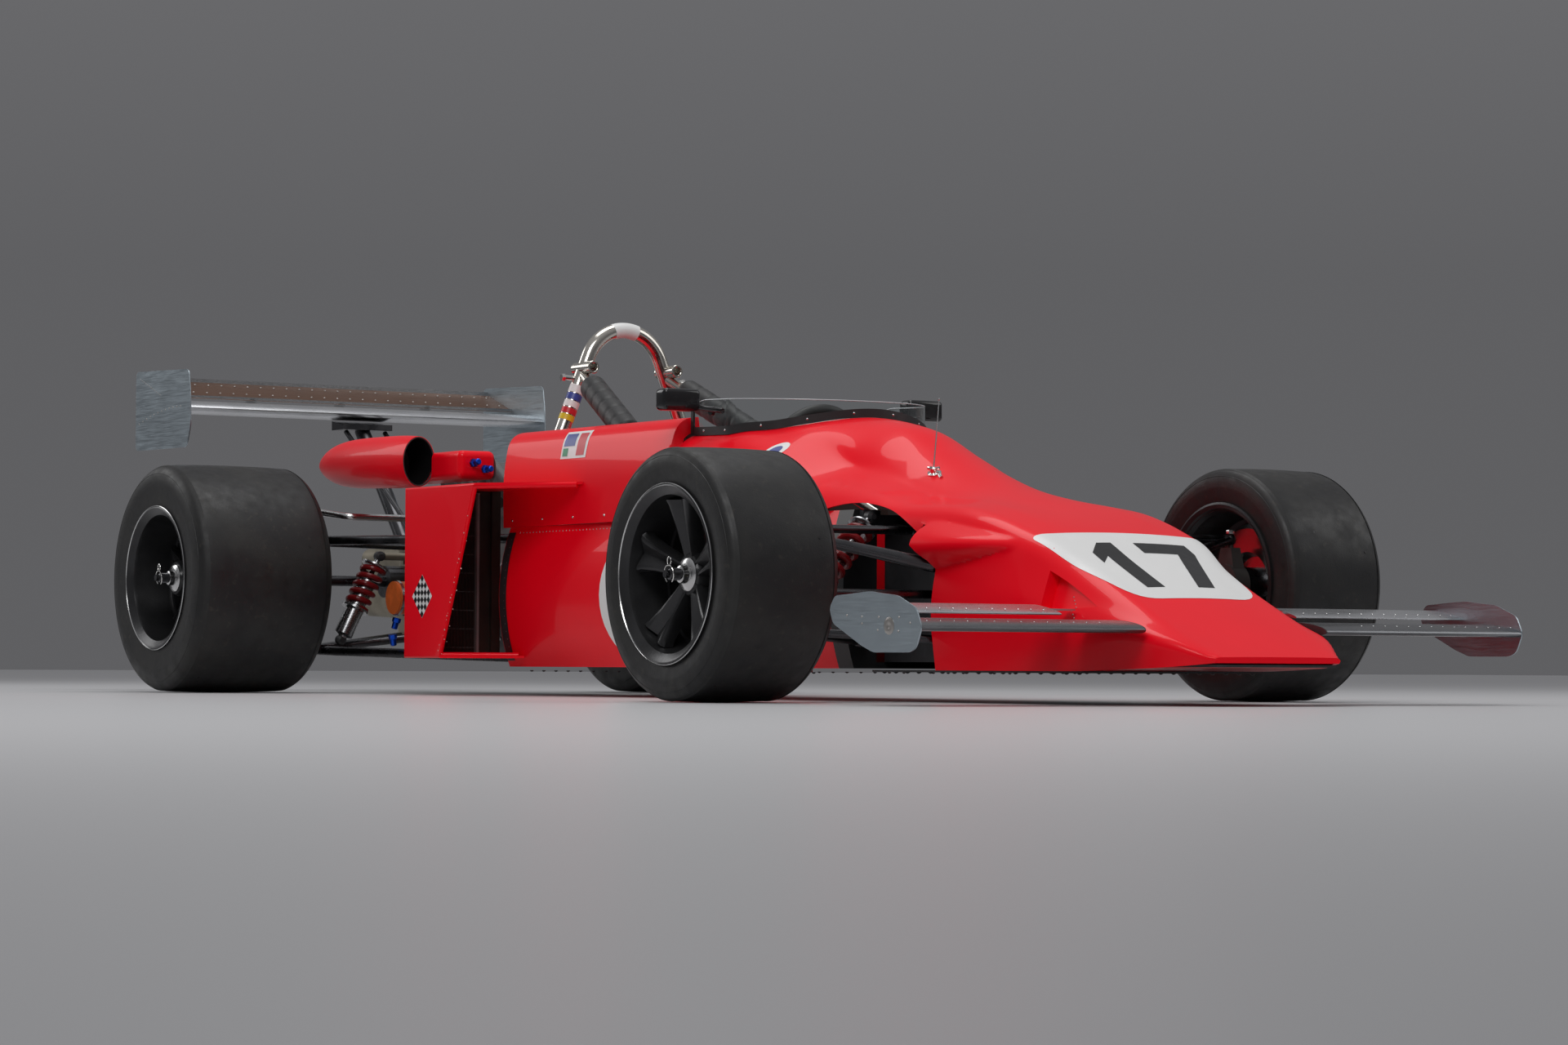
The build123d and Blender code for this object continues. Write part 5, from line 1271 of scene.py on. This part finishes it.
def stone_chips():
    """Bare spots along the lips of the pods."""
    chips = Shape()
    for sign in SIGNS:
        for k in range(26):
            share = ((k * 0.618) % 1.0) ** 0.6
            spread = ((k * 0.37) % 1.0 - 0.5) * 0.010
            x, station = POD_HALF - 0.0003, 1.466 + 0.172 * share + spread
            if k % 3 == 0:
                x, station = POD_HALF - 0.007 + spread, 1.4555 + 0.174 * share
            place, way = at(sign * x, station, 0.480 - 0.385 * share), Vector((sign, -0.4, 0)).normalized()
            chips.dome(place, way, 0.0008 + 0.0013 * ((k * 0.73) % 1.0), 6)
    chips.make("paint_chips", "chip", "body", 60)


def chequers():
    """A chequered diamond on each pod."""
    black, white = Shape(), Shape()
    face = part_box("radiator_pods")[1].x
    station, z = CHEQUER

    def diamond(x, corners, half):
        """A flat lozenge from its corners' shares along both of its diagonals."""
        return [at(x, station + (u - v) * half * 0.98, z + (u + v) * half) for u, v in corners]

    for sign in SIGNS:
        for a in range(CHEQUER_CELLS):
            for b in range(a % 2, CHEQUER_CELLS, 2):
                cell = [((a + u) / CHEQUER_CELLS - 0.5, (b + v) / CHEQUER_CELLS - 0.5) for u, v in SQUARE]
                black.add(diamond(sign * (face + 0.0011), cell, CHEQUER_HALF), [(0, 1, 2, 3)])
        whole = [(u - 0.5, v - 0.5) for u, v in SQUARE]
        white.add(diamond(sign * (face + 0.0005), whole, CHEQUER_HALF * 1.02), [(0, 1, 2, 3)])
    black.make("chequer_black", "black")
    white.make("chequer_white", "white")


# ------------------------------------------------------------------ spring and damper units
SPRING_TURNS, SPRING_WIRE, SPRING_STEPS = 5.2, 0.0074, 22    # steps for each turn


def spring_unit(bottom, top, body_r, spring_r, name):
    """A damper with threaded collars and an open coil spring."""
    axis, side, up = axes_of(top - bottom)
    length = (top - bottom).length
    neck = body_r * 0.93
    damper = Shape().turned(bottom, axis, [
        (0.0, 0), (0.0, 0.009), (0.012, 0.012), (0.016, body_r), (0.40 * length, body_r),
        (0.405 * length, neck), (0.70 * length, neck), (0.70 * length, 0.007), (length, 0.007), (length, 0),
    ], 32)
    damper.turned(bottom + axis * 0.36 * length, axis, [
        (0, body_r), (0, spring_r + 0.002), (0.005, spring_r + 0.002), (0.007, spring_r - 0.004),
        (0.007, body_r),
    ], 32)
    damper.turned(bottom + axis * 0.86 * length, axis, [
        (0, 0.006), (0, spring_r - 0.004), (0.004, spring_r + 0.001), (0.008, spring_r + 0.001),
        (0.010, 0.006),
    ], 32)
    made = damper.make(f"{name}_body", "alloy")
    count = int(SPRING_TURNS * SPRING_STEPS)
    line = []
    for share in (k / count for k in range(count + 1)):
        a = 2 * pi * SPRING_TURNS * share
        centre = bottom + axis * (0.38 + 0.475 * share) * length
        line.append(centre + (side * cos(a) + up * sin(a)) * (spring_r - SPRING_WIRE))
    Shape().tube(line, SPRING_WIRE, 10).make(f"{name}_spring", "spring")
    half_eye = [(-0.013, 0), (-0.013, 0.006), (-0.011, 0.0065), (-0.008, 0.013)]
    eye = half_eye + [(-along, radius) for along, radius in half_eye[::-1]]
    Shape().turned(bottom, Y, eye, 20).turned(top, Y, eye, 20).make(f"{name}_eyes", "satin_black")
    return made


def suspension_dampers():
    rear = WHEELBASE - 0.060
    nuts = Shape()
    for side, sign in SIDES:
        for end, low, high, body_r, spring_r in (
            ("front", (0.512, 0.026, 0.176), (0.264, 0.118, 0.392), 0.019, 0.031),
            ("rear", (0.366, rear, 0.1373), (0.256, rear, 0.357), 0.0245, 0.035),
        ):
            foot, head = at(sign * low[0], *low[1:]), at(sign * high[0], *high[1:])
            made = spring_unit(foot, head, body_r, spring_r, f"{end}_damper_{side}")
            if sign > 0:
                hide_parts(f"{end}_dampers")
        for z in (0.372, 0.128):
            nuts.nut(at(sign * 0.6175, 0.0, z), Z, 0.009, 0.009)
        for x, station, z in ((0.276, -0.117, 0.284), (0.226, 0.026, 0.360), (0.222, -0.136, 0.128)):
            nuts.nut(at(sign * x, station, z), Y, 0.009, 0.008)
    nuts.make("suspension_nuts", "steel")


# ------------------------------------------------------------------ engine bay
ENGINE_FRONT = 1.722
PORTS = [ENGINE_FRONT + 0.214 + 0.088 * k for k in range(4)]
TRUMPET = (
    (0, 0.0245), (0.018, 0.0245), (0.020, 0.028), (0.028, 0.028), (0.030, 0.0245), (0.070, 0.0242),
    (0.071, 0.023),
)
RAIL_X, RAIL_Z = -0.148, 0.548
FITTINGS = (                 # x, station, z and direction
    (RAIL_X, ENGINE_FRONT + 0.138, RAIL_Z, (0, -1, 0)),
    (-0.196, ENGINE_FRONT + 0.020, 0.560, (-0.6, -0.5, 0.2)),
    (-0.262, ENGINE_FRONT + 0.189, 0.580, (0.05, -1, 0.1)),
    (-0.230, ENGINE_FRONT + 0.189, 0.566, (0.2, -1, 0.0)),
    (-0.350, 2.150, 0.192, (-0.25, 0.1, -1)),
    (-0.362, 2.152, 0.150, (0.2, 0.1, -1)),
)
FITTING = ((0, 0), (0, 0.008), (0.016, 0.008), (0.018, 0.006), (0.018, 0))
PLUG_CAP = ((0, 0), (0, 0.009), (0.018, 0.007), (0.024, 0.005), (0.024, 0))
HOSE_FROM = 1.6105           # station of the tub's rear face
# Rings of a black funnel inside the scoop's mouth, nearly closed at its end: painted shade of the duct. Each
# ring is distance in and share of the mouth.
SCOOP_SHADE_RINGS = ((0.0015, 0.985), (0.05, 0.93), (0.12, 0.80), (0.121, 0.05))
SCOOP_X, SCOOP_MOUTH, SCOOP_Z = -0.334, 2.070, 0.588


def scoop_ring(along, share, count):
    """A ring in the scoop's oval mouth."""
    turns = (2 * pi * k / count for k in range(count))
    mouth = SCOOP_MOUTH + along
    return [at(SCOOP_X + 0.0435 * share * cos(a), mouth, SCOOP_Z + 0.0615 * share * sin(a)) for a in turns]


def engine_block():
    bolts = Shape()
    for sign in SIGNS:
        for k in range(9):
            bolts.slab(at(sign * 0.066, ENGINE_FRONT + 0.09 + k * 0.045, 0.535), (0.052, 0.004, 0.004))
        for k in range(10):
            for z in (0.330, 0.140):
                bolts.dome(at(sign * 0.121, ENGINE_FRONT + 0.05 + k * 0.042, z), X * sign, 0.007, 6)
    bolts.make("engine_bolts", "steel")
    trumpets, leads = Shape(), Shape()
    ends = [at(RAIL_X, ENGINE_FRONT + along, RAIL_Z) for along in (0.150, 0.520)]
    rail = Shape().tube(ends, 0.008, 14)
    for k, station in enumerate(PORTS):
        trumpets.turned(at(-0.118, station, 0.485), Vector((-0.087, 0, 0.092)), TRUMPET, 24)
        trumpets.nut(at(-0.135, station, 0.512), Vector((-0.2, 0, 1)), 0.009, 0.020)
        rail.tube([at(RAIL_X, station, RAIL_Z), at(-0.158, station, 0.528)], 0.005, 10)
        plug = at(0.066, station, 0.546)
        leads.tube(smooth_line([
            plug, plug + Vector((-0.01, 0.0, 0.020)), plug + Vector((-0.06, -0.03 - 0.02 * k, 0.028)),
            at(-0.020, ENGINE_FRONT + 0.10 + 0.012 * k, 0.560), at(-0.03, ENGINE_FRONT + 0.060, 0.575),
        ], 6), 0.0038, 8)
        leads.turned(plug - Z * 0.004, Z, PLUG_CAP, 12)
    trumpets.make("inlet_trumpets", "cast_dark")
    rail.make("fuel_rail", "steel")
    leads.make("ignition_leads", "satin_black")


def hoses_and_fittings():
    fittings = Shape()
    for x, station, z, way in FITTINGS:
        place, way = at(x, station, z), Vector(way).normalized()
        fittings.nut(place, way, 0.011, 0.012)
        fittings.turned(place + way * 0.011, way, FITTING, 16)
    fittings.make("blue_fittings", "blue")
    hoses = Shape()
    for x, lift in ((-0.264, 0.546), (-0.242, 0.574)):
        hoses.tube(smooth_line([
            at(x, HOSE_FROM, 0.352), at(x, 1.640, 0.354), at(x + 0.004, 1.668, 0.42),
            at(x + 0.012, 1.690, lift - 0.03), at(x + 0.040, ENGINE_FRONT - 0.004, lift + 0.004),
            at(x + 0.072, ENGINE_FRONT + 0.030, lift + 0.002), at(-0.152, ENGINE_FRONT + 0.126, lift - 0.018),
        ], 8), 0.0068, 16)
    made = hoses.make("braided_hoses", "braid")
    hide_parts("engine_hoses")


def gearbox_bolts():
    bolts = Shape()
    for sign in SIGNS:
        for k in range(4):
            for x, station in ((0.152, 2.245 + k * 0.045), (0.113, 2.44 + k * 0.04)):
                bolts.dome(at(sign * x, station, 0.30), X * sign, 0.007, 6)
    for place in circle_of(at(0, WHEELBASE + 0.393, 0.300), X, Z, 0.056, 8):
        bolts.nut(place, Y, 0.006, 0.005)
    bolts.make("gearbox_bolts", "steel")


def scoop_and_filter():
    ring = scoop_ring(0, 1, 48)
    Shape().tube(ring + ring[:1], 0.0026, 8).make("scoop_lip", "trim")
    # A black funnel, nearly closed, fills the scoop's mouth: painted shade deep in the duct.
    rings = [scoop_ring(along, share, 40) for along, share in SCOOP_SHADE_RINGS]
    faces = ring_faces([range(start, start + 40) for start in range(0, 160, 40)])
    Shape().add([v for ring in rings for v in ring], faces).make("scoop_mouth_shade", "black")
    bands = Shape()
    for x in (-0.366, -0.268):
        bands.turned(at(x, 2.130, 0.243), X, [(0, 0.042), (0, 0.0445), (0.007, 0.0445), (0.007, 0.042)], 40)
    bands.make("filter_bands", "steel")


# ------------------------------------------------------------------ cockpit
GAUGE_STATION = 0.618
GAUGES = (                   # x, z and radius
    (0, 0.556, 0.036), (-0.092, 0.548, 0.025), (0.092, 0.548, 0.025), (-0.152, 0.520, 0.025),
    (0.152, 0.520, 0.025),
)
BELT = (                     # x, station and z
    (0.070, 1.288, 0.512), (0.078, 1.260, 0.432), (0.080, 1.225, 0.342), (0.060, 1.160, 0.232),
    (0.024, 1.090, 0.162),
)
BELT_HALF, BELT_T = 0.022, 0.0012


def gauges():
    """Gauges with plain marks and hands."""
    rims, faces, marks = Shape(), Shape(), Shape()
    for x, z, radius in GAUGES:
        place = at(x, GAUGE_STATION, z)
        rims.turned(place, Y, [
            (0, radius - 0.003), (0, radius), (0.003, radius), (0.004, radius - 0.002),
            (0.001, radius - 0.004),
        ], 32)
        faces.turned(place, Y, [(0.0006, radius - 0.003), (0.0008, 0)], 32)
        for a in (radians(-130 + 26 * k) for k in range(11)):
            spot = place + Vector((sin(a), 0, cos(a))) * (radius - 0.008) + Y * 0.0014
            marks.slab(spot, (0.0014, 0.0006, 0.005), Matrix.Rotation(a, 3, "Y"))
        hand = (0.0016, 0.0006, radius * 0.9)
        marks.slab(place + Vector((0.004, 0.0022, 0.006)), hand, Matrix.Rotation(0.6, 3, "Y"))
    rims.make("gauge_rims", "steel")
    faces.make("gauge_faces", "black")
    marks.make("gauge_marks", "white")


def seat_belts():
    belts, buckles = Shape(), Shape()
    for sign in SIGNS:
        line = [at(*p) for p in smooth_line([(sign * x, station, z) for x, station, z in BELT], 5)]
        for start, end in zip(line, line[1:]):
            up = (end - start).cross(X).normalized()
            half = X * BELT_HALF
            quad = [start - half, start + half, end + half, end - half]
            belts.loft([[v + up * t for v in quad] for t in (BELT_T, -BELT_T)])
        buckles.slab(at(sign * 0.079, 1.235, 0.345), (0.052, 0.010, 0.030))
    buckle = [(0, 0), (0, 0.032), (0.010, 0.030), (0.014, 0.020), (0.014, 0)]
    buckles.turned(at(0, 1.078, 0.150), Vector((0, -0.6, 0.8)), buckle, 32)
    belts.make("belts", "belt")
    buckles.make("belt_buckles", "steel")


def gear_lever():
    Shape().tube([at(-0.205, 0.800, 0.290), at(-0.196, 0.790, 0.372)], 0.006, 12).make("gear_lever", "steel")
    Shape().turned(at(-0.196, 0.790, 0.366), Vector((0.1, -0.1, 1)), [
        (0, 0), (0.002, 0.010), (0.012, 0.016), (0.022, 0.015), (0.030, 0.008), (0.031, 0),
    ], 20).make("gear_knob", "gloss_black")


# ------------------------------------------------------------------ stage and camera
CAMERA_AT = (-4.89301, -6.77743, 0.07457)      # x, station and z
CAMERA_YAW, CAMERA_PITCH, CAMERA_ROLL = 0.56908, 0.03664, 0.00464
LENS = 89.9
FLOOR_REACH = 30.0
WORLD_RAMP = ((0.10, (0.21, 0.21, 0.22, 1.0)), (0.75, (0.62, 0.62, 0.64, 1.0)))    # height and colour
LAMPS = (
    ("key", (-3.5, -4.5, 5.0), 3.0, 150.0, (0, 0, 0.3)), ("fill", (4.5, -3.0, 3.5), 3.0, 45.0, (0, 0, 0.3)),
    ("top", (0.0, 0.5, 5.5), 3.0, 95.0, (0, 0.2, 0.0)), ("rear", (-3.0, 5.0, 3.0), 2.5, 50.0, (0, 0.5, 0.4)),
)


def camera():
    data = bpy.data.cameras.new("camera")
    data.lens = LENS
    data.sensor_width = 36.0
    data.clip_end = 100.0
    yaw, pitch, roll = CAMERA_YAW, CAMERA_PITCH, CAMERA_ROLL
    look = Vector((sin(yaw) * cos(pitch), cos(yaw) * cos(pitch), sin(pitch)))
    right = Vector((cos(yaw), -sin(yaw), 0))
    up = right.cross(look)
    right, up = right * cos(roll) + up * sin(roll), up * cos(roll) - right * sin(roll)
    cam = object_of("camera", data)
    cam.matrix_world = Matrix.Translation(at(*CAMERA_AT)) @ Matrix((right, up, -look)).transposed().to_4x4()
    bpy.context.scene.camera = cam


def stage():
    corners = [((2 * u - 1) * FLOOR_REACH, (2 * v - 1) * FLOOR_REACH, 0) for u, v in SQUARE]
    floor = Shape().add(corners, [(0, 1, 2, 3)]).make("floor", "floor", None)
    world = bpy.data.worlds.new("studio")
    world.use_nodes = True
    nodes, links = world.node_tree.nodes, world.node_tree.links
    height = nodes.new("ShaderNodeSeparateXYZ")
    links.new(nodes.new("ShaderNodeTexCoord").outputs["Generated"], height.inputs["Vector"])
    ramp = nodes.new("ShaderNodeValToRGB")
    for element, (position, colour) in zip(ramp.color_ramp.elements, WORLD_RAMP):
        element.color = colour
        element.position = position
    links.new(height.outputs["Z"], ramp.inputs["Fac"])
    links.new(ramp.outputs["Color"], nodes["Background"].inputs["Color"])
    nodes["Background"].inputs["Strength"].default_value = 0.55
    bpy.context.scene.world = world
    for name, place, size, power, target in LAMPS:
        data = bpy.data.lights.new(name, "AREA")
        data.size = size
        data.energy = power
        lamp = object_of(name, data)
        lamp.location = place
        lamp.rotation_euler = (Vector(target) - Vector(place)).to_track_quat("-Z", "Y").to_euler()
    bpy.context.scene.view_settings.view_transform = "Standard"


dress_nodes()
shell_tree = tree_of(body_shell())
tub_tree = tree_of(NODES["tub"])
for dressing in (tyres, wheels, roll_hoop, brace_pads, mirrors, underside):
    dressing()
for fitted in (windscreen, mast):
    fitted(shell_tree)
markings(shell_tree, tub_tree)
rivets(shell_tree, tub_tree)
for dressing in (
    front_wings, endplates, rear_wing, pod_bodies, radiator_trim, stone_chips, chequers, suspension_dampers,
    engine_block, hoses_and_fittings, gearbox_bolts, scoop_and_filter, gauges, seat_belts, gear_lever, camera,
    stage,
):
    dressing()
